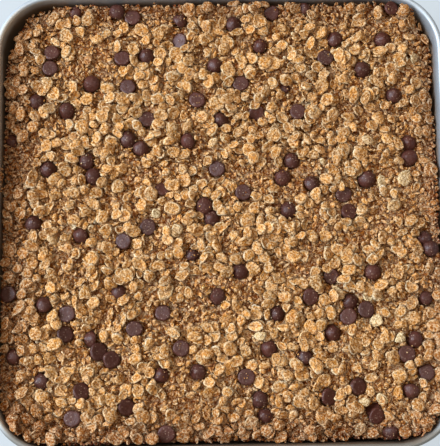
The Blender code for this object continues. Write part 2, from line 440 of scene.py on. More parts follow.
def tin_material():
    """Satin anodised sheet: fine rubbing marks and small scratches. Low on the inside a brown layer from baking, which
    also carries painted shade where the wall meets the granola; painted shade on the lower inside wall and along the -y
    rim, and a painted warm reflection on the left inside wall.
    """
    m = Nodes("satin_tin")
    x, y, z = m.split(m.co)
    grain = m.noise(1400, 2.0, 0.6, vector=m.stretch(1, 1, 0.12))
    cloud = m.noise(28, 3.0, 0.55)
    rub = m.noise(240, 4.0, 0.65, vector=m.stretch(0.25, 1.0, 1.0))
    base = m.mix(m.remap(cloud, 0.3, 0.7), (0.415, 0.455, 0.485), (0.475, 0.515, 0.55))
    base = m.mix(m.math("MULTIPLY", m.remap(rub, 0.52, 0.68), 0.22), base, (0.60, 0.645, 0.68))
    base = m.mix(m.math("MULTIPLY", m.remap(grain, 0.40, 0.25), 0.25), base, (0.31, 0.33, 0.35))
    # the brown layer from baking, with painted shade: only on the inside, darkest at the granola where the wall is in
    # shade, reaching less high on the right and left walls and higher on the -y wall, in runs and spots further up
    inside = m.split(m.attribute("tone").outputs["Vector"])[0]
    ragged = m.math("ADD", z, m.math("MULTIPLY", m.math("SUBTRACT", m.noise(130, 4.0, 0.6), 0.5), 0.007))
    ragged = m.math("ADD", ragged, m.remap(x, 0.100, 0.114, 0.0, 0.0035))
    ragged = m.math("ADD", ragged, m.remap(y, -0.100, -0.114, 0.0, -0.0045))
    ragged = m.math("ADD", ragged, m.remap(x, -0.100, -0.114, 0.0, 0.0015))
    film_and_shade = m.remap(ragged, 0.0385, 0.0305)
    spots = m.math("MULTIPLY", m.remap(m.voronoi(210), 0.17, 0.10), m.remap(z, 0.0375, 0.0335))
    film_and_shade = m.math("MULTIPLY", inside, m.math("MAXIMUM", m.math("MULTIPLY", film_and_shade, 0.90), m.math("MULTIPLY", spots, 0.6)))
    # painted reflection: the left inside wall takes a warm beige, the reflected light of the granola and the room
    warm = m.math("MULTIPLY", inside, m.remap(x, -0.098, -0.111))
    base = m.mix(m.math("MULTIPLY", warm, 0.85), base, (0.62, 0.565, 0.48))
    # painted shade: the inside wall darkens lower down, least on the left wall
    painted_wall_shade = m.math("MULTIPLY", m.math("MULTIPLY", inside, m.remap(z, 0.0392, 0.0315)), m.remap(x, -0.111, -0.098, 0.15, 0.55))
    base = m.mix(painted_wall_shade, base, (0.17, 0.18, 0.19))
    # painted shade: the rim along the -y side is darkened
    painted_rim_shade = m.math("MULTIPLY", m.remap(y, -0.100, -0.112), m.remap(z, 0.0355, 0.0375))
    base = m.mix(m.math("MULTIPLY", painted_rim_shade, 0.88), base, (0.20, 0.185, 0.155))
    base = m.mix(film_and_shade, base, (0.155, 0.085, 0.035))
    m.put(m.bsdf.inputs["Base Color"], base)
    m.put(m.bsdf.inputs["Metallic"], m.math("SUBTRACT", 0.45, m.math("MULTIPLY", film_and_shade, 0.35)))
    rough = m.math("ADD", 0.46, m.math("MULTIPLY", m.math("SUBTRACT", cloud, 0.5), 0.16))
    rough = m.math("ADD", rough, m.math("MULTIPLY", film_and_shade, 0.15))
    m.put(m.bsdf.inputs["Roughness"], rough)
    m.bump(m.math("ADD", m.math("MULTIPLY", grain, 0.6), rub), 0.25, 0.00006)
    return m.mat


# ------------------------------------------------------------------ the tin
def tin_profile():
    """(outward offset from the inside wall at RIM_Z, height) from the middle of the inside floor, up, over the rim and down to the underside."""
    pts = []
    zf = WALL  # inside floor
    # inside corner between floor and wall: an arc tangent to both
    half = math.radians(90 - 2.5) / 2
    reach = FLOOR_R * math.tan(math.pi / 4 - math.radians(2.5) / 2)
    wall_at = lambda z: -(RIM_Z - z) * LEAN
    corner_n = wall_at(zf)
    c_n, c_z = corner_n - reach, zf + FLOOR_R
    for n in (-24.0, -20.0, -15.0, -11.0):
        pts.append((n * MM, zf))
    steps = 7
    for j in range(steps + 1):
        a = math.radians(-90) + math.radians(87.5) * j / steps
        pts.append((c_n + FLOOR_R * math.cos(a), c_z + FLOOR_R * math.sin(a)))
    z0 = pts[-1][1]
    for j in range(1, 12):
        z = z0 + (RIM_Z - 0.5 * MM - z0) * j / 11
        pts.append((wall_at(z), z))
    # rolled rim
    bn, bz = BEAD_R - 0.06 * MM, RIM_Z
    for j in range(0, 23):
        a = math.radians(172 - 272 * j / 22)
        pts.append((bn + BEAD_R * math.cos(a), bz + BEAD_R * math.sin(a)))
    # the roll's edge tucks in beside the wall and leaves a fine groove
    pts.append((bn - 0.28 * MM - 0.10 * MM, bz - BEAD_R + 0.02 * MM))
    pts.append((wall_at(bz - BEAD_R) + WALL + 0.10 * MM, bz - BEAD_R + 0.30 * MM))
    pts.append((wall_at(bz - BEAD_R) + WALL, bz - BEAD_R + 0.18 * MM))
    outer_r = FLOOR_R + WALL
    z1 = c_z + outer_r * math.sin(math.radians(-2.5))
    zt = bz - BEAD_R - 0.25 * MM
    for j in range(12):
        z = zt + (z1 - zt) * j / 11
        pts.append((wall_at(z) + WALL, z))
    for j in range(1, steps + 1):
        a = math.radians(-2.5) - math.radians(87.5) * j / steps
        pts.append((c_n + outer_r * math.cos(a), c_z + outer_r * math.sin(a)))
    for n in (-11.0, -15.0, -20.0, -24.0):
        pts.append((n * MM, 0.0))
    return np.array(pts)


def make_tin():
    profile = tin_profile()
    rings = []
    for n, z in profile:
        ring = rounded_ring(INNER_X + n, INNER_Y + n, INNER_R + n, 20, 14)
        rings.append(np.column_stack([ring, np.full(len(ring), z)]))
    count = len(rings[0])
    first, last = rings[0], rings[-1]
    inner = [first * (k, k, 1) for k in (0.12, 0.3, 0.5, 0.72, 0.88)]
    under = [last * (k, k, 1) for k in (0.88, 0.72, 0.5, 0.3, 0.12)]
    rings = inner + rings + under
    p = np.array(rings)
    # hand-made sheet is never dead straight
    wave = noise(flat3(p[..., 0], p[..., 1], p[..., 2]), 60 * MM, 5) * 0.16 * MM
    wave *= smoothstep(0.0, 12 * MM, p[..., 2])
    away = np.sign(p[..., :2]) * (np.abs(p[..., :2]) > [[[INNER_X - 20 * MM, INNER_Y - 20 * MM]]])
    p[..., :2] += away * wave[..., None]
    p[..., 0] = np.clip(p[..., 0], TIN_LOW.x, TIN_HIGH.x)
    p[..., 1] = np.clip(p[..., 1], TIN_LOW.y, TIN_HIGH.y)
    n_rings = len(rings)
    verts = np.concatenate([p.reshape(-1, 3), [[0, 0, rings[0][0][2]], [0, 0, 0.0]]])
    k = np.arange(count)
    nxt = (k + 1) % count
    quads = [
        np.stack([r * count + k, r * count + nxt, (r + 1) * count + nxt, (r + 1) * count + k], -1)[:, ::-1]
        for r in range(n_rings - 1)
    ]
    quads = np.concatenate(quads)
    a, b = n_rings * count, n_rings * count + 1
    caps = np.concatenate(
        [
            np.stack([np.full(count, a), k, nxt], -1),
            np.stack([np.full(count, b), (n_rings - 1) * count + nxt, (n_rings - 1) * count + k], -1),
        ]
    )
    # the inside face, up to the top of the rolled rim
    n_in = len(inner) + int(np.argmax(profile[:, 1]))
    mark = np.zeros((len(verts), 3))
    mark[: n_in * count] = 1.0
    mark[a] = 1.0
    ob = build_mesh("baking_tin", verts, [quads, caps], mark)
    ob.data.materials.append(tin_material())
    return ob


# ------------------------------------------------------------------ where the chocolate drops lie
# x, y in mm; which end is up (B base, P point); tilt and the direction it leans to in degrees;
# how far its top stands over the surface in mm; size; how crumbed it is
DROPS = """
-76.4 111.4 P 30 200 0.4 0.86 0.1; -54.3 111.3 P 18 200 2.2 1.03 0.0; -45.9 108.2 B 5 90 1.2 1.03 0.1
-20.7 106.5 P 45 45 2.0 0.98 0.5; -20.9 95.5 B 28 180 1.8 1.04 0.1; -88.7 89.5 B 14 100 1.7 1.05 0.0
-89.7 81.2 B 6 0 1.1 1.00 0.0; -51.6 86.0 B 10 90 1.5 1.05 0.0; -38.7 87.1 P 8 150 2.6 1.06 0.0
-2.4 81.6 P 28 270 2.3 1.00 0.0; -67.7 72.6 P 28 190 2.8 1.15 0.0; -48.4 70.4 B 10 135 1.6 1.03 0.0
-11.9 63.0 B 6 100 1.9 1.08 0.5; -96.5 63.5 P 12 150 2.2 1.03 0.0; -81.0 58.2 P 28 205 2.6 1.07 0.0
-38.3 52.8 B 12 60 1.4 1.03 0.0; 0.4 52.1 P 15 30 2.3 1.03 0.0; -48.1 42.1 P 32 355 2.8 1.10 0.1
-41.6 37.2 P 30 60 2.5 1.08 0.0; -17.2 40.8 P 30 200 2.5 1.03 0.0; -109.0 42.3 P 30 0 0.8 0.93 0.4
-90.3 26.8 P 5 0 2.5 1.06 0.0; -70.4 30.9 P 30 170 2.8 1.11 0.4; -66.9 22.7 P 10 180 2.5 1.08 0.0
-2.0 25.6 B 8 180 1.7 1.03 0.2; -30.8 15.3 B 20 60 1.0 0.88 0.0; -9.0 6.3 P 25 185 2.7 1.11 0.1
-5.2 -0.3 P 10 200 2.3 1.03 0.0; -97.7 -1.6 P 12 120 2.2 1.06 0.0; -38.3 -4.5 B 3 0 1.2 1.05 0.0
7.7 104.3 P 5 0 2.3 1.01 0.0; 28.3 110.0 B 36 250 1.5 0.97 0.1; 45.8 113.1 P 20 90 0.6 0.82 0.0
92.0 112.0 B 20 0 1.7 0.92 0.2; 21.8 92.2 P 15 160 2.0 0.95 0.1; 61.8 95.7 P 15 140 2.5 1.03 0.0
87.5 95.7 P 5 0 2.5 1.05 0.0; 56.4 85.2 B 5 0 1.5 1.03 0.2; 75.9 78.8 P 22 225 2.7 1.06 0.0
11.2 71.8 B 4 90 1.4 1.03 0.1; 34.4 68.4 P 30 330 0.9 0.93 0.5; 19.2 55.7 B 30 270 1.4 1.03 0.0
41.0 55.9 B 6 100 1.5 1.03 0.0; 92.4 64.7 P 12 60 2.2 1.03 0.0; 98.9 38.9 P 8 200 1.9 1.03 0.0
98.9 30.8 P 28 180 2.5 1.08 0.0; 37.1 30.0 P 8 150 2.4 1.05 0.0; 32.2 20.9 P 20 200 2.5 1.07 0.1
47.6 17.6 P 28 60 2.5 1.05 0.0; 76.3 19.3 P 28 275 2.8 1.11 0.0; 11.4 12.9 B 3 0 1.5 1.03 0.4
63.9 11.5 B 20 270 1.5 1.00 0.1; 66.4 2.3 B 20 40 2.0 1.06 0.2; 34.7 3.6 P 30 200 2.7 1.07 0.1
-73.2 -8.6 P 30 215 2.7 1.00 0.0; -50.7 -11.8 B 9 175 1.9 1.05 0.0; -15.5 -19.2 P 50 90 1.3 0.93 0.8
-109.8 -38.6 B 14 190 2.0 1.06 0.0; -91.5 -44.1 P 26 110 2.7 1.08 0.0; -79.5 -49.2 B 5 200 1.6 1.06 0.0
-53.5 -37.9 P 40 120 1.2 0.98 0.0; -30.6 -49.2 B 8 120 1.5 1.01 0.0; -2.7 -41.0 P 28 180 2.8 1.05 0.0
-45.1 -57.2 B 3 0 1.8 1.03 0.0; -80.3 -59.5 B 26 20 2.2 1.05 0.0; -67.7 -61.9 P 60 180 2.5 1.05 0.0
-63.4 -68.4 B 30 10 2.7 1.15 0.0; -56.8 -72.6 B 24 0 2.4 1.11 0.0; -21.4 -67.4 B 3 0 1.8 1.03 0.3
-106.8 -70.6 P 45 200 2.1 1.03 0.0; -92.3 -82.9 P 50 195 2.6 1.08 0.0; -31.8 -80.7 P 10 150 2.4 1.03 0.2
-13.0 -79.3 P 22 200 2.4 1.03 0.0; -72.0 -88.2 B 30 30 2.5 1.08 0.0; -49.2 -96.4 B 28 350 2.4 1.08 0.0
-76.3 -101.8 B 6 150 1.7 1.07 0.0; -29.1 -109.9 B 12 260 2.2 1.08 0.0; 9.1 -28.1 P 18 190 2.4 1.03 0.0
105.4 -12.0 P 25 200 1.4 0.98 0.0; 108.3 -17.6 P 5 0 2.6 1.03 0.0; 77.6 -29.3 P 20 180 2.5 1.06 0.0
56.1 -31.3 B 15 270 1.6 1.00 0.3; 45.2 -42.0 B 15 330 1.9 1.03 0.0; 104.4 -43.3 P 25 180 2.3 0.90 0.0
65.7 -44.3 P 25 90 2.2 1.01 0.0; 73.3 -48.8 B 3 0 1.6 1.03 0.0; 64.1 -52.1 B 6 150 1.7 1.08 0.0
27.9 -50.2 P 6 0 1.9 0.98 0.0; 55.9 -60.3 P 5 0 2.6 1.06 0.0; 97.8 -64.3 P 22 200 2.5 1.03 0.0
93.2 -71.7 B 4 0 1.8 1.08 0.2; 23.4 -68.0 P 8 200 2.4 1.03 0.0; 41.3 -72.6 P 40 120 2.6 1.03 0.1
102.9 -81.0 B 8 110 1.7 1.00 0.0; 11.5 -82.2 B 4 0 1.5 1.06 0.3; 68.0 -87.6 B 26 0 2.4 1.08 0.0
94.8 -90.4 P 35 250 2.5 1.03 0.1; 18.1 -93.5 P 26 195 2.8 1.08 0.0; 20.5 -101.5 P 20 120 1.2 0.95 0.2
52.9 -92.8 B 28 340 2.3 1.05 0.0; 76.9 -102.3 B 24 310 2.0 1.03 0.0; 83.4 -110.9 P 50 260 1.4 1.03 0.2
75.2 -99.0 B 55 120 1.2 1.03 0.0
"""


def read_drops():
    rows = []
    for part in DROPS.replace("\n", ";").split(";"):
        f = part.split()
        if f:
            rows.append((float(f[0]) * MM, float(f[1]) * MM, f[2], math.radians(float(f[3])), math.radians(float(f[4])), float(f[5]) * MM, float(f[6]), float(f[7])))
    return rows


DROP_ROWS = read_drops()

# ------------------------------------------------------------------ heights: where each loose thing comes to rest
CELL = 0.5 * MM
SPAN = 488
ORIGIN = -SPAN * CELL / 2
axis_mm = ORIGIN + (np.arange(SPAN) + 0.5) * CELL
GX, GY = np.meshgrid(axis_mm, axis_mm, indexing="ij")
EDGE_D = edge_distance(GX, GY)
WOBBLE = 0.9 * MM * noise(flat3(GX, GY), 9 * MM, 71) + 0.5 * MM * noise(flat3(GX, GY), 3.5 * MM, 72)
EDGE_D = EDGE_D + WOBBLE
WALL_D = wall_distance(GX, GY, TOP_Z)


def surface_level(x, y):
    """Mean height of the finished surface: nearly level, drawn up a little at the walls and heaped in three corners."""
    p = flat3(x, y)
    d = edge_distance(x, y)
    h = TOP_Z + 0.50 * MM * noise(p, 34 * MM, 11) + 0.35 * MM * noise(p, 13 * MM, 12)
    for hx, hy, tall, wide in HEAPS:
        h = h + tall * MM * np.exp(-(((x / MM - hx) ** 2 + (y / MM - hy) ** 2) / wide**2))
    # drawn up at the walls, but sunk along the middles of three sides
    sunk = 0.65 * smoothstep(-98 * MM, -107 * MM, x) * smoothstep(-88 * MM, -74 * MM, y)
    sunk = sunk + smoothstep(98 * MM, 107 * MM, x) * smoothstep(24 * MM, 36 * MM, y) * smoothstep(98 * MM, 88 * MM, y)
    sunk = sunk + smoothstep(-100 * MM, -108 * MM, y) * smoothstep(-32 * MM, -18 * MM, x) * smoothstep(84 * MM, 74 * MM, x)
    raised = smoothstep(94 * MM, 106 * MM, y) * smoothstep(-88 * MM, -76 * MM, x) * smoothstep(86 * MM, 76 * MM, x)
    return h + (1.0 - 2.2 * np.clip(sunk, 0, 1) + 2.4 * raised) * MM * smoothstep(-9 * MM, -1 * MM, d)


def drop_pits(x, y):
    """How far the granola is pushed down round each drop that stands clear of it."""
    low = np.zeros(np.shape(x))
    for dx, dy, _, _, _, lift, size, _ in DROP_ROWS:
        if lift > 1.0 * MM:
            r = np.hypot(x - dx, y - dy) / (4.3 * MM * size)
            low = np.maximum(low, (1.2 * MM + lift) * (1 - smoothstep(0.80, 1.04, r)))
    return low


def core_height(x, y):
    """Top of the pressed mass that the loose flakes and crumbs lie on: packed grains of two sizes."""
    p = flat3(x, y)
    h = surface_level(x, y) - 1.75 * MM
    d1, _ = grains(p, 2.9 * MM, 21)
    d2, _ = grains(p, 1.6 * MM, 22)
    h = h + 0.95 * MM * (0.42 - 1.25 * d1**2) + 0.50 * MM * (0.42 - 1.25 * d2**2) + 0.35 * MM * noise(p, 6 * MM, 23)
    return h - 2.4 * MM * smoothstep(-2.6 * MM, 0.0, edge_distance(x, y)) - drop_pits(x, y)


LEVEL = surface_level(GX, GY)
H = np.where(EDGE_D < 0, core_height(GX, GY), 8 * MM)
BLOCK = np.zeros((SPAN, SPAN), bool)  # where nothing but a stray crumb may lie: on the drops
WALLED = WALL_D > -0.25 * MM


def cells_round(x, y, reach):
    i = int((x - ORIGIN) / CELL)
    j = int((y - ORIGIN) / CELL)
    return slice(max(i - reach, 0), min(i + reach + 1, SPAN)), slice(max(j - reach, 0), min(j + reach + 1, SPAN))


def level_at(x, y):
    return LEVEL[min(max(int((x - ORIGIN) / CELL), 0), SPAN - 1), min(max(int((y - ORIGIN) / CELL), 0), SPAN - 1)]


def painted_depth_shade(points):
    """Painted shade: what lies deeper below the surface is made browner and darker."""
    i = np.clip(((points[..., 0] - ORIGIN) / CELL).astype(int), 0, SPAN - 1)
    j = np.clip(((points[..., 1] - ORIGIN) / CELL).astype(int), 0, SPAN - 1)
    up = smoothstep(-2.9 * MM, 0.3 * MM, points[..., 2] - LEVEL[i, j])[..., None]
    return (1 - up) * np.array([0.72, 0.29, 0.085]) + up


def settle(x, y, yaw, a, b, thick, bowl, reach, jitter, most_tilt, allow_over=0.2, on_drops=False, bite=0.86):
    """Where an oval plate comes to rest. Returns (height of its middle, slopes, cells, its top there), or None."""
    si, sj = cells_round(x, y, reach)
    dx, dy = GX[si, sj] - x, GY[si, sj] - y
    c, s = math.cos(yaw), math.sin(yaw)
    u, v = c * dx + s * dy, -s * dx + c * dy
    rho2 = (u / a) ** 2 + (v / b) ** 2
    mask = rho2 <= 1
    if WALLED[si, sj][mask].any():
        return None
    over = EDGE_D[si, sj][mask] > 0
    if over.mean() > allow_over:
        return None
    if not on_drops and BLOCK[si, sj][mask].mean() > 0.06:
        return None
    h = np.maximum(H[si, sj], TOP_Z - 4.5 * MM)
    hm, um, vm = h[mask], u[mask], v[mask]
    gu = (hm * um).sum() / (um * um).sum()
    gv = (hm * vm).sum() / (vm * vm).sum()
    g = math.hypot(gu, gv)
    cap = math.tan(most_tilt)
    if g > cap:
        gu, gv = gu * cap / g, gv * cap / g
    gu, gv = gu * 0.85 + jitter[0], gv * 0.85 + jitter[1]
    plate = gu * u + gv * v + bowl * rho2
    z = np.quantile(hm - (plate - thick / 2)[mask], bite)
    return z, gu, gv, (si, sj), mask, z + plate + thick / 2


def lay(found):
    """Adds what has come to rest to the heights."""
    _, _, _, (si, sj), mask, top = found
    patch = H[si, sj]
    patch[mask] = np.maximum(patch[mask], top[mask])


SPOTS = rng.uniform(-1, 1, (400000, 2)) * (INNER_X, INNER_Y)
SPOT_D = edge_distance(SPOTS[:, 0], SPOTS[:, 1])
CRUMBLY = noise(flat3(SPOTS[:, 0], SPOTS[:, 1]), 12 * MM, 61) + 0.6 * noise(flat3(SPOTS[:, 0], SPOTS[:, 1]), 5 * MM, 62)
spot_at = 0


def inside_spot(margin=-1.0 * MM, whole=0.0):
    """A random place on the granola. Whole flakes, with whole up to 1, keep away from the crumbly patches."""
    global spot_at
    while True:
        spot_at = (spot_at + 1) % len(SPOTS)
        if SPOT_D[spot_at] < margin and CRUMBLY[spot_at] * whole < 0.22:
            return SPOTS[spot_at]


def orient(yaw, gu, gv):
    """Rotation that turns a plate by yaw and lays it on slopes gu, gv measured along its own axes."""
    ex = np.array([1, 0, gu])
    ex /= np.linalg.norm(ex)
    nz = np.array([-gu, -gv, 1.0])
    nz /= np.linalg.norm(nz)
    ey = np.cross(nz, ex)
    local = np.stack([ex, ey, nz], 1)
    c, s = math.cos(yaw), math.sin(yaw)
    return np.array([[c, -s, 0], [s, c, 0], [0, 0, 1]]) @ local


# ------------------------------------------------------------------ the core
def make_core():
    n = 252
    t = np.linspace(-1, 1, n + 1)
    u, v = np.meshgrid(t, t, indexing="ij")
    m = np.maximum(np.abs(u), np.abs(v))
    ang = np.arctan2(v * INNER_Y, u * INNER_X)
    ox, oy = outline_at(ang.ravel())
    shrink = 1 - 1.5 * MM / 113 / MM
    x, y = ox.reshape(ang.shape) * m * shrink, oy.reshape(ang.shape) * m * shrink
    z = core_height(x, y)
    top = np.stack([x, y, z], -1).reshape(-1, 3)
    # the rim of the grid, anticlockwise
    idx = np.arange((n + 1) * (n + 1)).reshape(n + 1, n + 1)
    loop = np.concatenate([idx[:-1, 0], idx[-1, :-1], idx[:0:-1, -1], idx[0, :0:-1]])
    k = len(loop)
    edge = top[loop]
    out = edge[:, :2] / np.linalg.norm(edge[:, :2], axis=1, keepdims=True)
    rows, heights = [], np.array([24.2, 22.4, 20.4, 18.0, 15.5, 13.0, 10.5, 8.0, 5.6, 3.6, 2.2, SLAB_LOW.z / MM]) * MM
    for j, h in enumerate(heights):
        p = flat3(edge[:, 0], edge[:, 1], h)
        push = 0.45 * MM * noise(p, 3.0 * MM, 31) + 0.35 * MM * noise(p, 1.4 * MM, 32)
        lean = -(TOP_Z - h) * LEAN
        tuck = -2.0 * MM * smoothstep(7 * MM, 1.4 * MM, h) ** 2
        rows.append(np.column_stack([edge[:, :2] + out * (push + lean + tuck)[:, None], np.full(k, h)]))
    under = [np.column_stack([rows[-1][:, :2] * f, rows[-1][:, 2]]) for f in (0.95, 0.8, 0.55, 0.3)]
    middle = np.array([[0, 0, SLAB_LOW.z]])
    verts = np.concatenate([top] + rows + under + [middle])
    quads = [np.stack([idx[:-1, :-1], idx[1:, :-1], idx[1:, 1:], idx[:-1, 1:]], -1).reshape(-1, 4)]
    ids = [loop] + [len(top) + r * k + np.arange(k) for r in range(len(rows) + len(under))]
    for a, b in zip(ids[:-1], ids[1:]):
        quads.append(np.stack([a, b, np.roll(b, -1), np.roll(a, -1)], -1))
    fan = np.stack([ids[-1], np.full(k, len(verts) - 1), np.roll(ids[-1], -1)], -1)
    p = verts
    d1, own1 = grains(flat3(p[:, 0], p[:, 1]), 2.9 * MM, 21)
    d2, own2 = grains(flat3(p[:, 0], p[:, 1]), 1.6 * MM, 22)
    tone = OAT_BROWN + (OAT_BASE - OAT_BROWN) * (0.35 + 0.65 * own1)[:, None]
    tone = tone * (1.0, 0.82, 0.60)
    # each small grain has its own lighter or darker tone, with painted shade darkening it towards the gaps between the
    # grains
    tone = tone * (0.78 + 0.36 * own2)[:, None] * (1.06 - 0.55 * np.clip(d1 - 0.25, 0, 1) - 0.35 * np.clip(d2 - 0.3, 0, 1))[:, None]
    tone = tone * (0.92 + 0.12 * noise(p, 9 * MM, 41))[:, None]
    # painted shade: the slab's sides darken lower down inside the tin
    painted_deep_shade = smoothstep(27 * MM, 12 * MM, p[:, 2])[:, None]
    tone = tone * (1 - 0.55 * painted_deep_shade)
    toast = edge_toast(p[:, 0], p[:, 1])[:, None]
    tone = tone * (1 - toast) + (tone * 0.35 + OAT_TOAST * 0.33) * toast
    ob = build_mesh("granola_core", verts, [np.concatenate(quads), fan], np.clip(tone, 0.008, 0.9), grain=verts)
    ob.data.materials.append(oat_material("pressed_granola", 0.62, 0.03, crumbly=1.0, streaky=0.0, cells=0.9))
    return ob


# ------------------------------------------------------------------ oat flakes
OAT_BASE = linear(211, 149, 76)
# OAT_RIM is the paler rim colour, which also serves as a painted highlight on the flakes' rims
OAT_RIM = linear(226, 203, 168)
OAT_BROWN = linear(180, 110, 45)
OAT_CREAM = linear(246, 228, 184)
OAT_TOAST = linear(175, 88, 28)


def flake_template(segments, top_rings, bottom_rings):
    """Rings of a flake from its middle outwards, then back under. Returns (rho, theta, side, faces, corner uvs)."""
    rho, theta, side = [0.0], [0.0], [1]
    ring_rho = list(top_rings) + list(bottom_rings)
    ring_side = [1] * len(top_rings) + [-1] * len(bottom_rings)
    for k, (r, s) in enumerate(zip(ring_rho, ring_side)):
        for j in range(segments):
            rho.append(r)
            theta.append(2 * math.pi * (j + 0.5 * (k % 2)) / segments)
            side.append(0 if (r >= 1.0) else s)
    rho.append(0.0)
    theta.append(0.0)
    side.append(-1)
    rho, theta, side = np.array(rho), np.array(theta), np.array(side)
    tris, uvs = [], []
    last = len(rho) - 1
    top_uv = lambda i: (0.5 + 0.5 * rho[i] * math.cos(theta[i]), 0.61 + 0.39 * rho[i] * math.sin(theta[i]))
    low_uv = lambda i: (
        0.5 + 0.5 * (rho[i] if side[i] < 0 else 1.0) * math.cos(theta[i]),
        0.10 + 0.10 * (rho[i] if side[i] < 0 else 1.0) * math.sin(theta[i]),
    )
    n_rings = len(ring_rho)

    def add(tri, is_top):
        tris.append(tri)
        uvs.extend([(top_uv if is_top else low_uv)(i) for i in tri])

    for j in range(segments):
        add((0, 1 + j, 1 + (j + 1) % segments), True)
    for r in range(n_rings - 1):
        is_top = r < len(top_rings) - 1
        a0, b0 = 1 + r * segments, 1 + (r + 1) * segments
        shift = r % 2  # the outer ring is half a step ahead on even rings
        for j in range(segments):
            jn = (j + 1) % segments
            if shift == 0:
                add((a0 + j, b0 + j, a0 + jn), is_top)
                add((a0 + jn, b0 + j, b0 + jn), is_top)
            else:
                add((a0 + j, b0 + j, b0 + jn), is_top)
                add((a0 + j, b0 + jn, a0 + jn), is_top)
    a0 = 1 + (n_rings - 1) * segments
    for j in range(segments):
        add((a0 + j, last, a0 + (j + 1) % segments), False)
    return rho, theta, side, np.array(tris), np.array(uvs)


def shape_flakes(spec, template, seed, detail=1.0):
    """Points (n, v, 3) of flakes and their tones (n, v, 3). spec holds one array for each property."""
    rho, theta, side, _, _ = template
    n, v = len(spec["a"]), len(rho)
    col = lambda key: spec[key][:, None]
    r = np.ones((n, v))
    for k, amp in ((2, 0.055), (3, 0.050), (4, 0.028), (5, 0.022), (7, 0.014)):
        phase = rng.uniform(0, 2 * math.pi, (n, 1))
        r += amp * col("ragged") * rng.normal(0.0, 1.0, (n, 1)) * np.cos(k * theta[None] + phase)
    # a nick or a broken side on some
    at = rng.uniform(0, 2 * math.pi, (n, 1))
    gap = np.angle(np.exp(1j * (theta[None] - at)))
    r -= col("nick") * np.exp(-((gap / 0.30) ** 2))
    cut = rng.uniform(0, 2 * math.pi, (n, 1))
    broken = 1 - col("broken")
    toward = np.cos(theta[None] - cut)
    r = np.where(toward > 0.1, np.minimum(r, broken / np.maximum(toward, 0.1)), r)
    toward = np.cos(theta[None] - cut - col("second"))
    r = np.where((toward > 0.1) & (col("second") > 0), np.minimum(r, broken / np.maximum(toward, 0.1)), r)
    r = np.clip(r, 0.45, 1.25) + np.where(rho[None] > 0.9, rng.normal(0, 0.020, (n, v)), 0)
    x = col("a") * rho[None] * r * np.cos(theta)[None]
    y = col("b") * rho[None] * r * np.sin(theta)[None]
    rr = rho[None]
    mid = col("bowl") * rr**2 * (0.55 + 0.45 * rr)
    mid = mid + col("bend_u") * (x / col("a")) ** 2 + col("bend_v") * (y / col("b")) ** 2 + col("twist") * x * y / (col("a") * col("b"))
    p = np.stack([x, y, np.zeros_like(x)], -1) + (np.arange(n) * 0.0371)[:, None, None]
    mid = mid + 0.22 * MM * noise(p, 2.6 * MM, seed) * (0.3 + rr)
    half = col("thick") / 2 * (1 - 0.72 * rr**7)
    puff = col("puff") * np.sqrt(np.clip(1 - rr**2.4, 0, 1))
    rim = col("rim") * np.exp(-(((rr - 0.88) / 0.10) ** 2)) * (1 + 0.8 * noise(p, 2.2 * MM, seed + 3))
    crease = col("crease") * np.exp(-((y / (0.15 * col("b"))) ** 2)) * (1 - rr**3)
    grain = (0.24 * noise(p, 1.05 * MM, seed + 1) + 0.12 * noise(p, 0.55 * MM, seed + 2)) * MM * col("grain") * detail
    top = mid + half + puff + rim - crease + grain
    low = mid - half - 0.5 * puff
    edge = mid + 0.35 * half + 0.1 * puff
    s = side[None]
    z = np.where(s > 0, top, np.where(s < 0, low, edge))
    local = np.stack([x, y, z], -1)
    points = np.einsum("nij,nvj->nvi", spec["turn"], local) + spec["at"][:, None, :]
    pattern = local + rng.uniform(-0.5, 0.5, (n, 1, 3))
    # tones: a paler rim, partly real and partly a painted highlight, a browner middle, painted shade in the crease and
    # in the grain's dips with painted light on its bumps, each flake its own
    rim_pale_and_highlight = smoothstep(0.66, 0.95, rr) * (0.62 + 0.75 * noise(p, 2.2 * MM, seed + 3))
    rim_pale_and_highlight = np.clip(rim_pale_and_highlight * col("rim_pale_and_highlight_amount") + 0.26 * noise(p, 1.3 * MM, seed + 4), 0, 1)
    brown_middle_and_crease_shade = np.clip((1 - smoothstep(0.0, 0.75, rr)) * 0.55 + crease / (0.55 * MM), 0, 1) * col("brown")
    grain_light_and_shade = np.clip(grain / (0.25 * MM), -1, 1)
    tone = OAT_BASE[None, None] * np.ones((n, v, 1))
    tone = tone + (OAT_BROWN - OAT_BASE)[None, None] * brown_middle_and_crease_shade[..., None]
    tone = tone + (OAT_RIM - tone) * rim_pale_and_highlight[..., None]
    tone = tone * (1 + 0.22 * grain_light_and_shade[..., None])
    tone = tone * spec["tint"][:, None, :]
    cream = col("cream")[..., None] * (0.75 + 0.25 * rim_pale_and_highlight[..., None])
    tone = tone + (OAT_CREAM - tone) * cream
    toast = np.clip(col("toast")[..., None] * (1 - 0.25 * rim_pale_and_highlight[..., None]), 0, 1)
    tone = tone * (1 - toast) + (tone * 0.35 + OAT_TOAST * 0.42) * toast
    # painted shade: the flakes' undersides are darker
    under = np.where(s < 0, 0.75, 1.0)[..., None]
    return points, np.clip(tone * under * painted_depth_shade(points), 0.01, 0.95), pattern


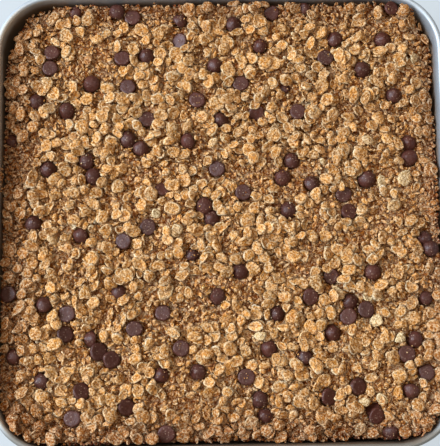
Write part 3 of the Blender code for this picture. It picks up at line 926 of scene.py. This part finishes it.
def draw_spec(n, small=1.0):
    """Random properties of n oat flakes, at true size."""
    kind = rng.random(n)
    puffed = kind > 0.50
    length = np.clip(rng.normal(3.24, 0.52, n), 2.2, 4.6) * MM * small
    spec = {
        "a": length,
        "b": length * np.clip(rng.normal(0.79, 0.10, n), 0.55, 0.99),
        "thick": rng.uniform(0.75, 1.15, n) * MM,
        "bowl": np.where(puffed, rng.uniform(-0.45, 0.1, n), rng.uniform(0.0, 0.62, n)) * MM,
        "puff": np.where(puffed, rng.uniform(0.30, 0.85, n), 0.0) * MM,
        "rim": np.where(puffed, rng.uniform(0.0, 0.16, n), rng.uniform(0.12, 0.34, n)) * MM,
        "crease": np.where(rng.random(n) < 0.42, rng.uniform(0.15, 0.5, n), 0.0) * MM,
        "bend_u": rng.normal(0, 0.30, n) * MM,
        "bend_v": rng.normal(0, 0.22, n) * MM,
        "twist": rng.normal(0, 0.28, n) * MM,
        "ragged": rng.uniform(0.6, 1.6, n),
        "nick": np.where(rng.random(n) < 0.30, rng.uniform(0.08, 0.34, n), 0.0),
        "broken": np.where(rng.random(n) < 0.15, rng.uniform(0.15, 0.55, n), 0.0),
        "second": np.zeros(n),
        "grain": rng.uniform(0.9, 2.0, n),
        "rim_pale_and_highlight_amount": np.clip(rng.normal(0.78, 0.25, n), 0.15, 1.15),
        "brown": rng.uniform(0.2, 1.0, n),
        "cream": np.zeros(n),
        "toast": np.zeros(n),
    }
    value = np.clip(rng.normal(1.0, 0.11, n), 0.72, 1.25)
    warm = rng.normal(0, 0.035, n)
    spec["tint"] = np.stack([value * (1 + 0.3 * warm), value * (1 - 0.5 * warm), value * (1 - 2.2 * warm)], -1)
    return spec


def edge_toast(x, y):
    """How browned the granola is, partly real browning and partly painted shade from the walls: more at the slab's
    edge, less of it along the +y side, more along the -x and -y sides and in the corners, and some in patches.
    """
    d = edge_distance(x, y)
    patch = noise(flat3(x, y), 30 * MM, 91) * 0.5 + noise(flat3(x, y), 11 * MM, 92) * 0.5
    more = 0.40 * smoothstep(-84 * MM, -106 * MM, x) + 0.34 * smoothstep(-88 * MM, -110 * MM, y)
    corner = np.hypot(np.maximum(np.abs(x) - 78 * MM, 0), np.maximum(np.abs(y) - 80 * MM, 0))
    more = more + 0.42 * smoothstep(14 * MM, 36 * MM, corner)
    return np.clip(0.42 * smoothstep(-9 * MM, -0.5 * MM, d) + 0.24 * smoothstep(-26 * MM, -4 * MM, d) * (1 - 0.6 * smoothstep(60 * MM, 96 * MM, y)) + more + 0.15 * patch, 0, 1)


def draw_chips(n, lo, hi):
    """Broken bits of flakes, lo to hi mm across."""
    spec = draw_spec(n)
    half = (lo + (hi - lo) * rng.beta(1.2, 1.9, n)) / 2 * MM
    spec["a"], spec["b"] = half, half * rng.uniform(0.38, 0.88, n)
    spec["thick"] = rng.uniform(0.50, 0.90, n) * MM
    shrink = half / (3.1 * MM)
    for key in ("bowl", "puff", "rim", "crease", "bend_u", "bend_v", "twist"):
        spec[key] = spec[key] * shrink
    spec["puff"] = spec["puff"] + rng.uniform(0, 0.16, n) * half
    spec["ragged"] = rng.uniform(1.2, 2.8, n)
    spec["broken"] = np.where(rng.random(n) < 0.85, rng.uniform(0.2, 0.60, n), 0.0)
    spec["second"] = np.where(rng.random(n) < 0.6, rng.uniform(1.5, 3.4, n), 0.0)
    spec["rim_pale_and_highlight_amount"] = spec["rim_pale_and_highlight_amount"] * 0.6
    spec["grain"] = spec["grain"] * 0.7
    spec["tint"] = spec["tint"] * rng.choice([0.88, 0.97, 1.06, 1.14], (n, 1), p=[0.2, 0.32, 0.32, 0.16])
    return spec


def place_flakes(spec, tries, jitter_deg, most_tilt, embed, fixed=None, allow_over=0.2, margin=-2.0 * MM, whole=0.0):
    """Lays each flake in the lowest of a few spots. Flakes with a fixed place go first."""
    n = len(spec["a"])
    at, turns, keep = np.zeros((n, 3)), np.zeros((n, 3, 3)), np.zeros(n, bool)
    for k in range(n):
        a, b = spec["a"][k], spec["b"][k]
        thick, bowl = spec["thick"][k] + 0.4 * spec["puff"][k], spec["bowl"][k]
        reach = int(a / CELL) + 2
        best = None
        here = fixed[k] if fixed is not None and k < len(fixed) else None
        for _ in range(1 if here else tries):
            x, y = here[:2] if here else inside_spot(margin, whole)
            yaw = here[2] if here else rng.uniform(0, 2 * math.pi)
            j = np.tan(np.radians(rng.normal(0, jitter_deg, 2)))
            found = settle(x, y, yaw, a, b, thick, bowl, reach, j, most_tilt, allow_over if not here else 0.5, bool(here))
            if found is None:
                continue
            low = found[0] - level_at(x, y)
            if best is None or low < best[4]:
                best = (found, x, y, yaw, low)
        if best is None:
            continue
        found, x, y, yaw, _ = best
        z = found[0] - embed * MM
        lay((z, found[1], found[2], found[3], found[4], found[5] - embed * MM))
        at[k], turns[k], keep[k] = (x, y, z), orient(yaw, found[1], found[2]), True
    spec = {key: value[keep] for key, value in spec.items()}
    spec["at"], spec["turn"] = at[keep], turns[keep]
    spec["toast"] = np.clip(spec["toast"] + edge_toast(spec["at"][:, 0], spec["at"][:, 1]), 0, 1)
    return spec


def flakes_object(name, spec, template, seed, material, detail=1.0, smooth=True):
    points, tone, pattern = shape_flakes(spec, template, seed, detail)
    keep_off_wall(points)
    n, v = points.shape[:2]
    faces = repeat_faces([template[3]], n, v)
    ob = build_mesh(name, points.reshape(-1, 3), faces, tone.reshape(-1, 3), atlas([template[4]], n), pattern.reshape(-1, 3), smooth)
    ob.data.materials.append(material)
    return ob


def keep_off_wall(points, gap=0.12 * MM):
    """Moves whole pieces inwards so that no point of theirs reaches the tin's wall."""
    d = wall_distance(points[..., 0], points[..., 1], points[..., 2]) + gap
    worst = d.max(1)
    k = d.argmax(1)
    p = points[np.arange(len(points)), k]
    e = 0.05 * MM
    gx = wall_distance(p[:, 0] + e, p[:, 1], p[:, 2]) - wall_distance(p[:, 0] - e, p[:, 1], p[:, 2])
    gy = wall_distance(p[:, 0], p[:, 1] + e, p[:, 2]) - wall_distance(p[:, 0], p[:, 1] - e, p[:, 2])
    g = np.stack([gx, gy], -1)
    g /= np.maximum(np.linalg.norm(g, axis=1, keepdims=True), 1e-9)
    points[..., :2] -= (np.maximum(worst, 0)[:, None] * g)[:, None, :]


# ------------------------------------------------------------------ chocolate drops
# half outline of a drop, mm: radius and height over its base
DROP_OUTLINE = np.array([
    (0.0, 0.10), (1.25, 0.09), (2.55, 0.05), (3.35, 0.02), (3.82, 0.14), (4.10, 0.46), (4.20, 0.95), (4.12, 1.50),
    (3.86, 2.10), (3.42, 2.75), (2.85, 3.38), (2.18, 3.95), (1.48, 4.40), (0.82, 4.74), (0.36, 4.98), (0.0, 5.06),
])


def make_drops():
    rows = DROP_ROWS
    seg = 22
    outline = DROP_OUTLINE * MM
    rings = outline[1:-1]
    n_r = len(rings)
    theta = 2 * math.pi * np.arange(seg) / seg
    base_r = np.concatenate([[0.0], np.repeat(rings[:, 0], seg), [0.0]])
    base_z = np.concatenate([[outline[0, 1]], np.repeat(rings[:, 1], seg), [outline[-1, 1]]])
    base_t = np.concatenate([[0.0], np.tile(theta, n_r), [0.0]])
    v = len(base_r)
    quads, tris = [], []
    uvq, uvt = [], []
    flat_rings = 4  # rings that belong to the flat side's island

    def uv(i, flat):
        r, z, t = base_r[i], base_z[i], base_t[i]
        if flat:
            rad = r / (rings[flat_rings, 0] + 1e-9)
            return 0.25 + 0.24 * rad * math.cos(t), 0.5 + 0.48 * rad * math.sin(t)
        k = 0 if i == v - 1 else n_r - (i - 1) // seg
        rad = k / (n_r - flat_rings)
        return 0.75 + 0.24 * rad * math.cos(t), 0.5 + 0.48 * rad * math.sin(t)

    for j in range(seg):
        jn = (j + 1) % seg
        t = (0, 1 + jn, 1 + j)
        tris.append(t)
        uvt += [uv(i, True) for i in t]
        b = 1 + (n_r - 1) * seg
        t = (v - 1, b + j, b + jn)
        tris.append(t)
        uvt += [uv(i, False) for i in t]
    for r in range(n_r - 1):
        for j in range(seg):
            jn = (j + 1) % seg
            q = (1 + r * seg + j, 1 + r * seg + jn, 1 + (r + 1) * seg + jn, 1 + (r + 1) * seg + j)
            quads.append(q)
            uvq += [uv(i, r < flat_rings) for i in q]
    n = len(rows)
    size = np.array([r[6] for r in rows])
    melt = rng.uniform(0.86, 1.04, n)  # some have slumped a little
    lop = rng.normal(0, 0.22, (n, 2)) * MM
    ph = rng.uniform(0, 2 * math.pi, (n, 3))
    t, rad, z = base_t[None], base_r[None], base_z[None]
    wob = 1 + 0.018 * np.cos(2 * t + ph[:, :1]) + 0.014 * np.cos(3 * t + ph[:, 1:2]) + 0.008 * np.cos(5 * t + ph[:, 2:3])
    zf = z / outline[-1, 1]
    x = (rad * wob * np.cos(t) + lop[:, :1] * zf**2) * size[:, None]
    y = (rad * wob * np.sin(t) + lop[:, 1:2] * zf**2) * size[:, None]
    zz = z * (melt * size)[:, None]
    local = np.stack([x, y, zz], -1)
    p = local + (np.arange(n) * 0.053)[:, None, None]
    push = 0.10 * MM * noise(p, 3.2 * MM, 51) + 0.035 * MM * noise(p, 1.1 * MM, 52)
    centre = np.array([0, 0, 2.0 * MM])
    away = local - centre
    away /= np.linalg.norm(away, axis=-1, keepdims=True)
    local = local + away * push[..., None]
    # flattened places where it touched its neighbours
    for _ in range(5):
        nrm = rng.normal(size=(n, 1, 3)) * (1, 1, 0.8)
        nrm /= np.linalg.norm(nrm, axis=-1, keepdims=True)
        reach = ((local - centre) * nrm).sum(-1)
        most = reach.max(1, keepdims=True) * rng.uniform(0.86, 1.0, (n, 1))
        local = local - nrm * (np.maximum(reach - most, 0) * 0.9)[..., None]
    local[..., 2] -= 2.2 * MM  # turn about the drop's middle
    points = np.zeros_like(local)
    for k, (dx, dy, end, tilt, lean, lift, sz, rough) in enumerate(rows):
        spin = rng.uniform(0, 2 * math.pi)
        q = local[k] @ turn(np.array([[0, 0, 1.0]]), np.array([spin]))[0].T
        if end == "B":
            q = q * (1, -1, -1)  # base up, by a half turn
        axis = np.array([[-math.sin(lean), math.cos(lean), 0]])
        q = q @ turn(axis, np.array([tilt]))[0].T
        level = float(surface_level(np.array(dx), np.array(dy)))
        # a drop never stands so high that its underside shows
        q = q - ((q.min(0) + q.max(0)) / 2 * (1, 1, 0))
        q = q + (dx, dy, level + lift - q[:, 2].max())
        points[k] = q
    keep_off_wall(points)
    quads, tris, uvq, uvt = np.array(quads), np.array(tris), np.array(uvq), np.array(uvt)
    # heights, and where nothing may lie
    for k in range(n):
        q = points[k]
        cx, cy = rows[k][0], rows[k][1]
        si, sj = cells_round(cx, cy, 11)
        gx, gy = GX[si, sj], GY[si, sj]
        lo, hi = q[:, :2].min(0), q[:, :2].max(0)
        mx, my = (lo + hi) / 2
        rx, ry = (hi - lo) / 2
        r2 = ((gx - mx) / rx) ** 2 + ((gy - my) / ry) ** 2
        top = q[:, 2].max() - 2.4 * MM * r2**1.5
        inside = r2 < 1
        patch = H[si, sj]
        patch[inside] = np.maximum(patch[inside], top[inside])
        if rows[k][5] > 0.9 * MM:
            BLOCK[si, sj] |= r2 < 0.84
        elif rows[k][5] > 0.1 * MM:
            BLOCK[si, sj] |= r2 < 0.45
    tone = np.ones((n, v, 3)) * linear(71, 35, 26)
    tone = tone * rng.uniform(0.82, 1.18, (n, 1, 1))
    f = repeat_faces([quads, tris], n, v)
    ob = build_mesh("chocolate_drops", points.reshape(-1, 3), f, tone.reshape(-1, 3), atlas([uvq, uvt], n))
    ob.data.materials.append(chocolate_material())
    return ob, rows, points


# ------------------------------------------------------------------ crumbs
def ico(level):
    """Points and faces of an icosphere of radius 1."""
    t = (1 + 5**0.5) / 2
    v = [(-1, t, 0), (1, t, 0), (-1, -t, 0), (1, -t, 0), (0, -1, t), (0, 1, t), (0, -1, -t), (0, 1, -t), (t, 0, -1), (t, 0, 1), (-t, 0, -1), (-t, 0, 1)]
    f = [(0, 11, 5), (0, 5, 1), (0, 1, 7), (0, 7, 10), (0, 10, 11), (1, 5, 9), (5, 11, 4), (11, 10, 2), (10, 7, 6), (7, 1, 8), (3, 9, 4), (3, 4, 2), (3, 2, 6), (3, 6, 8), (3, 8, 9), (4, 9, 5), (2, 4, 11), (6, 2, 10), (8, 6, 7), (9, 8, 1)]
    v = [np.array(p, float) / np.linalg.norm(p) for p in v]
    for _ in range(level):
        seen, g = {}, []

        def mid(a, b):
            key = (min(a, b), max(a, b))
            if key not in seen:
                m = v[a] + v[b]
                v.append(m / np.linalg.norm(m))
                seen[key] = len(v) - 1
            return seen[key]

        for a, b, c in f:
            ab, bc, ca = mid(a, b), mid(b, c), mid(c, a)
            g += [(a, ab, ca), (b, bc, ab), (c, ca, bc), (ab, bc, ca)]
        f = g
    v, f = np.array(v), np.array(f)
    # turned a little, so that no face lies across both halves evenly
    m = turn(np.array([[0.3, 0.8, 0.5]]), np.array([0.37]))[0]
    v = v @ m.T
    # corner uvs: two flattened halves side by side
    uv = []
    for face in f:
        up = v[face].mean(0)[2] >= 0
        for i in face:
            z = v[i][2] if up else -v[i][2]
            r = math.acos(max(-1, min(1, z))) / (math.pi / 2) / 1.55
            a = math.atan2(v[i][1], v[i][0])
            uv.append(((0.25 if up else 0.75) + 0.245 * r * math.cos(a), 0.5 + 0.49 * r * math.sin(a)))
    return v, f, np.array(uv)


def shape_crumbs(at, size, base, flat, seed, rough=0.28):
    """Lumpy grains (n, v, 3)."""
    n, v = len(at), len(base)
    p = base[None] * size[:, None, None] + (np.arange(n) * 0.0173)[:, None, None]
    swell = 1 + rough * noise(p, size.mean() * 0.9, seed) + rough * 0.55 * rng.uniform(-1, 1, (n, v))
    pts = base[None] * swell[..., None] * size[:, None, None]
    pts = pts * rng.uniform(0.55, 1.30, (n, 1, 3))
    pts = np.einsum("nij,nvj->nvi", any_turn(n), pts)
    pts[..., 2] *= flat
    return pts + at[:, None, :]


def crumb_tone(at, n, v, pts, seed, light=1.0, plain=False):
    value = np.clip(rng.normal(0.95, 0.18, n), 0.5, 1.4) * light
    kind = rng.random(n)
    base = np.where((kind < 0.16)[:, None], OAT_RIM[None], np.where((kind < 0.45)[:, None], OAT_BROWN[None], OAT_BASE[None] * 0.92))
    if plain:
        base, value = np.tile(OAT_BASE * 0.5 + OAT_BROWN * 0.5, (n, 1)), np.clip(value, 0.85, 1.0)
    toast = edge_toast(at[:, 0], at[:, 1])[:, None]
    tone = base * value[:, None]
    tone = tone * (1 - toast) + (tone * 0.35 + OAT_TOAST * 0.40) * toast
    mottled = 1 + 0.22 * noise(pts, 0.7 * MM, seed)
    return np.clip(tone[:, None, :] * mottled[..., None] * painted_depth_shade(pts), 0.008, 0.9)


def drop_crumb(x, y, r, sink=0.35):
    """Height of a grain's middle at x, y, and the heights raised under it."""
    reach = max(int(r / CELL) + 1, 1)
    si, sj = cells_round(x, y, reach)
    d2 = (GX[si, sj] - x) ** 2 + (GY[si, sj] - y) ** 2
    mask = d2 <= max(r * r, CELL * CELL * 0.6)
    under = H[si, sj][mask]
    if not len(under):
        return None
    base = np.quantile(under, 0.6)
    z = base + r * (1 - sink)
    return z, (si, sj), mask, z + np.sqrt(np.maximum(r * r - d2, 0)) * 0.8


def scatter_crumbs(n, r_lo, r_hi, tries, margin, power=2.0, sink=0.35, random_share=0.0, walls=True):
    """Grains in the lowest of a few spots, a share of them anywhere."""
    at, size = [], []
    for _ in range(n):
        r = (r_lo + (r_hi - r_lo) * rng.random() ** power) * MM
        best = None
        for _ in range(1 if rng.random() < random_share else tries):
            x, y = inside_spot(margin)
            i, j = int((x - ORIGIN) / CELL), int((y - ORIGIN) / CELL)
            if BLOCK[i, j] or WALL_D[i, j] > -r - 0.1 * MM:
                continue
            if best is None or H[i, j] - LEVEL[i, j] < best[0]:
                best = (H[i, j] - LEVEL[i, j], x, y)
        if best is None:
            continue
        got = drop_crumb(best[1], best[2], r, sink)
        if got is None:
            continue
        z, (si, sj), mask, top = got
        patch = H[si, sj]
        patch[mask] = np.maximum(patch[mask], top[mask])
        at.append((best[1], best[2], z))
        size.append(r)
    return np.array(at), np.array(size)


def crumbs_object(name, at, size, level, flat, seed, material, rough=0.28, light=1.0, plain=False):
    base, faces, uv = ico(level)
    pts = shape_crumbs(at, size, base, flat, seed, rough)
    keep_off_wall(pts, 0.08 * MM)
    n, v = pts.shape[:2]
    tone = crumb_tone(at, n, v, pts, seed + 5, light, plain)
    pattern = base[None] * size[:, None, None] + rng.uniform(-0.5, 0.5, (n, 1, 3))
    faces = repeat_faces([faces], n, v)
    ob = build_mesh(name, pts.reshape(-1, 3), faces, tone.reshape(-1, 3), atlas([uv], n), pattern.reshape(-1, 3), smooth=False)
    ob.data.materials.append(material)
    return ob


# ------------------------------------------------------------------ make everything
TIN = make_tin()
CORE = make_core()

TOP_TEMPLATE = flake_template(16, (0.38, 0.68, 0.88, 1.0), (0.80,))
CHIP_TEMPLATE = flake_template(8, (0.66, 1.0), ())
oats = oat_material("baked_oats", cells=0.35)
crumbs = oat_material("oat_crumbs", 0.60, 0.0, streaky=0.3, cells=0.5)

DROPS_OB, drop_rows, drop_points = make_drops()

# the few flakes that the baking left pale, two toasted ones, and those that lie on half-buried drops
PALE = [(-33.9, 2.1), (59.2, -22.4), (74.0, -42.4), (78.1, -54.7), (70.7, -95.5), (68.5, -108.8), (90.0, -63.5), (79.7, -93.9),
        (95.8, 19.4), (84.0, 17.6), (103.6, 84.3), (53.3, 28.7), (-65.1, -19.8), (18.7, -61.6), (58.5, -38.9)]
TOASTED = [(-70.4, 84.9), (-78.8, -68.9)]
PLAIN = [(12, 47), (20, 43), (7, 38), (15, 35), (25, 37), (11, 28), (21, 29), (28, 46), (3, 47), (30, 29),
         (33, 40), (29, 34), (40, 43), (36, 47), (17, 31), (16, 41)]
COVERS = [(18.4, 59.6), (62.3, 15.8), (53.9, -27.4), (35.2, 72.6), (-27.2, 17.6), (-57.0, -33.4), (-14.5, -15.4)]
N_LOW, N_TOP = 430, 1190

# whole flakes: a first lot sunk among the chips and crumbs, a second lot later on top
low = place_flakes(draw_spec(N_LOW), 7, 11, math.radians(34), 0.30, margin=-3.0 * MM, allow_over=0.05, whole=1.0)

# chips of flakes, jumbled
chips = place_flakes(draw_chips(4700, 2.2, 5.5), 4, 20, math.radians(50), 0.25, margin=-0.3 * MM, allow_over=0.3)
lump_at, lump_size = scatter_crumbs(160, 0.8, 1.4, 4, -0.8 * MM, power=1.4, sink=0.5)
clump_at, clump_size = [], []
for cx, cy, cr in CLUMPS:
    got = drop_crumb(cx * MM, cy * MM, cr * MM, 0.55)
    if got:
        patch = H[got[1]]
        patch[got[2]] = np.maximum(patch[got[2]], got[3][got[2]])
        clump_at.append((cx * MM, cy * MM, got[0]))
        clump_size.append(cr * MM)
clump_at, clump_size = np.array(clump_at), np.array(clump_size)

crumb_at, crumb_size = scatter_crumbs(1100, 0.28, 0.55, 6, -0.3 * MM, power=1.3, sink=0.4, random_share=0.15)
# those down the slab's sides
ang = rng.uniform(0, 2 * math.pi, 1500)
ex, ey = outline_at(ang)
side_r = rng.uniform(0.6, 1.5, 1500) * MM
inward = side_r * rng.uniform(0.4, 1.5, 1500)
side_z = TOP_Z - 1.4 * MM - rng.beta(1.0, 2.2, 1500) * 15 * MM
side_at = np.column_stack([ex - np.cos(ang) * inward, ey - np.sin(ang) * inward, side_z])
crumb_at, crumb_size = np.concatenate([crumb_at, side_at]), np.concatenate([crumb_size, side_r])
# those stuck to the wall
stuck_y = rng.normal(22.5, 3.4, 34) * MM
stuck_z = rng.uniform(31.0, 36.0, 34) * MM
stuck_x = -(INNER_X - (RIM_Z - stuck_z) * LEAN) + rng.uniform(0.25, 0.9, 34) * MM
crumb_at = np.concatenate([crumb_at, np.column_stack([stuck_x, stuck_y, stuck_z])])
crumb_size = np.concatenate([crumb_size, rng.uniform(0.35, 0.85, 34) * MM])
CRUMBS_A = crumbs_object("granola_crumbs_a", crumb_at, crumb_size, 0, 0.9, 411, crumbs, 0.36)

late = place_flakes(draw_chips(2900, 1.6, 3.8), 4, 20, math.radians(60), 0.15, margin=-0.3 * MM, allow_over=0.3)
CHIPS_A = flakes_object("oat_chips_a", chips, CHIP_TEMPLATE, 331, oats, smooth=False)
CHIPS_B = flakes_object("oat_chips_b", late, CHIP_TEMPLATE, 341, oats, smooth=False)

fixed = [(x * MM, y * MM, rng.uniform(0, math.pi)) for x, y in COVERS + TOASTED + PALE + PLAIN]
top = draw_spec(N_TOP)
n_cover, n_toast = len(COVERS), len(TOASTED)
pale = slice(n_cover + n_toast, n_cover + n_toast + len(PALE))
top["cream"][pale] = rng.uniform(0.6, 0.95, len(PALE))
top["toast"][n_cover : n_cover + n_toast] = 0.85
top["broken"][: len(fixed)] = 0
stray = rng.choice(np.arange(len(fixed), N_TOP), 12, replace=False)
top["cream"][stray] = rng.uniform(0.15, 0.45, 12)
top = place_flakes(top, 8, 10, math.radians(34), 0.25, fixed, allow_over=0.26, margin=-1.3 * MM, whole=0.8)
FLAKES_A = flakes_object("oat_flakes_a", low, TOP_TEMPLATE, 311, oats)
FLAKES_B = flakes_object("oat_flakes_b", top, TOP_TEMPLATE, 321, oats)


fine_at, fine_size = scatter_crumbs(3600, 0.18, 0.40, 4, -0.3 * MM, power=1.4, sink=0.3, random_share=0.5)
# fine crumbs on the drops
on_at, on_size = [], []
for row in drop_rows:
    for _ in range(int(row[7] * 20)):
        a, d, r = rng.uniform(0, 2 * math.pi), 3.6 * MM * math.sqrt(rng.random()), rng.uniform(0.18, 0.42) * MM
        got = drop_crumb(row[0] + d * math.cos(a), row[1] + d * math.sin(a), r, 0.4)
        if got:
            on_at.append((row[0] + d * math.cos(a), row[1] + d * math.sin(a), got[0] - 0.1 * MM))
            on_size.append(r)
fine_at, fine_size = np.concatenate([fine_at, on_at]), np.concatenate([fine_size, on_size])
CRUMBS_B = crumbs_object("granola_crumbs_b", fine_at, fine_size, 0, 0.9, 421, crumbs, 0.36, 1.05)

CLUMPS_OB = crumbs_object("granola_clumps", clump_at, clump_size, 3, 0.85, 431, crumbs, 0.22, 0.95, True)
LUMPS = crumbs_object("granola_lumps", lump_at, lump_size, 1, 0.85, 401, crumbs, 0.34, 0.95)

# ------------------------------------------------------------------ hand over to the frame
for piece in (CORE, LUMPS, CLUMPS_OB, FLAKES_A, FLAKES_B, CHIPS_A, CHIPS_B, CRUMBS_A, CRUMBS_B, DROPS_OB):
    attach(piece, "root")
    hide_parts("granola_slab")
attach(TIN, "root")
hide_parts("tin")

# ------------------------------------------------------------------ floor, light, camera
def make_floor():
    """A wide round floor whose far edge curves up all round, as a studio's backdrop does."""
    profile = [(0.6, 0.0), (4.0, 0.0), (11.0, 0.0), (12.5, 0.10), (13.7, 0.45), (14.5, 1.05), (15.0, 1.9), (15.2, 3.0)]
    count = 96
    verts, faces = [(0.0, 0.0, -0.0002)], []
    for r, z in profile:
        verts += [(r * math.cos(2 * math.pi * k / count), r * math.sin(2 * math.pi * k / count), z - 0.0002) for k in range(count)]
    for k in range(count):
        n = (k + 1) % count
        faces.append((0, 1 + k, 1 + n))
        for ring in range(len(profile) - 1):
            a = 1 + ring * count
            faces.append((a + k, a + count + k, a + count + n, a + n))
    mesh = bpy.data.meshes.new("floor")
    mesh.from_pydata(verts, [], faces)
    mesh.shade_smooth()
    ob = bpy.data.objects.new("floor", mesh)
    bpy.context.scene.collection.objects.link(ob)
    return ob


floor = make_floor()
fm = Nodes("pale_floor")
fm.bsdf.inputs["Base Color"].default_value = (0.09, 0.097, 0.104, 1)
fm.bsdf.inputs["Roughness"].default_value = 0.8
fm.bsdf.inputs["Emission Color"].default_value = (0.865, 0.965, 1.035, 1)
fm.bsdf.inputs["Emission Strength"].default_value = 0.62
floor.data.materials.append(fm.mat)


def area_light(name, place, aim, size, watts, colour):
    data = bpy.data.lights.new(name, "AREA")
    data.shape = "RECTANGLE"
    data.size, data.size_y = size
    data.energy = watts
    data.color = colour
    ob = bpy.data.objects.new(name, data)
    ob.location = place
    ob.rotation_euler = (Vector(aim) - Vector(place)).to_track_quat("-Z", "Y").to_euler()
    bpy.context.scene.collection.objects.link(ob)
    return ob


area_light("window", (-1.42, 0.22, 1.12), (0, 0, 0.02), (1.2, 0.9), 54.5, (0.77, 0.945, 1.15))
area_light("room", (0.3, 0.1, 2.0), (0, 0, 0.02), (1.2, 1.2), 9.0, (1.0, 0.97, 0.92))

world = bpy.data.worlds.new("studio")
bpy.context.scene.world = world
world.use_nodes = True
wt = world.node_tree
side = wt.nodes.new("ShaderNodeVectorMath")
side.operation = "DOT_PRODUCT"
side.inputs[1].default_value = (-0.85, 0.04, 0.53)  # the bright side of the room
wt.links.new(wt.nodes.new("ShaderNodeTexCoord").outputs["Generated"], side.inputs[0])
ramp = wt.nodes.new("ShaderNodeMapRange")
ramp.interpolation_type = "SMOOTHSTEP"
ramp.inputs[1].default_value, ramp.inputs[2].default_value = -0.10, 1.0
wt.links.new(side.outputs["Value"], ramp.inputs[0])
sky = wt.nodes.new("ShaderNodeMix")
sky.data_type = "RGBA"
sky.inputs[6].default_value = (0.135, 0.10, 0.068, 1)
sky.inputs[7].default_value = (0.95, 0.82, 0.66, 1)
wt.links.new(ramp.outputs[0], sky.inputs[0])
wt.links.new(sky.outputs[2], wt.nodes["Background"].inputs[0])
wt.nodes["Background"].inputs[1].default_value = 0.97

eye = Vector((-0.00835, -0.09607, 0.5884))
aim = Vector((-0.00095, -0.00430, RIM_Z))
yaw = -0.01384
forward = (aim - eye).normalized()
right = forward.cross(Vector((-math.sin(yaw), math.cos(yaw), 0))).normalized()
up = right.cross(forward)
cam = bpy.data.cameras.new("camera")
cam.sensor_fit = "HORIZONTAL"
cam.sensor_width = 36
cam.lens = 89.373
cam.clip_start, cam.clip_end = 0.01, 20
cam_ob = bpy.data.objects.new("camera", cam)
m = Matrix((right, up, -forward)).transposed().to_4x4()
m.translation = eye
cam_ob.matrix_world = m
bpy.context.scene.collection.objects.link(cam_ob)
bpy.context.scene.camera = cam_ob
bpy.context.scene.view_settings.view_transform = "Standard"
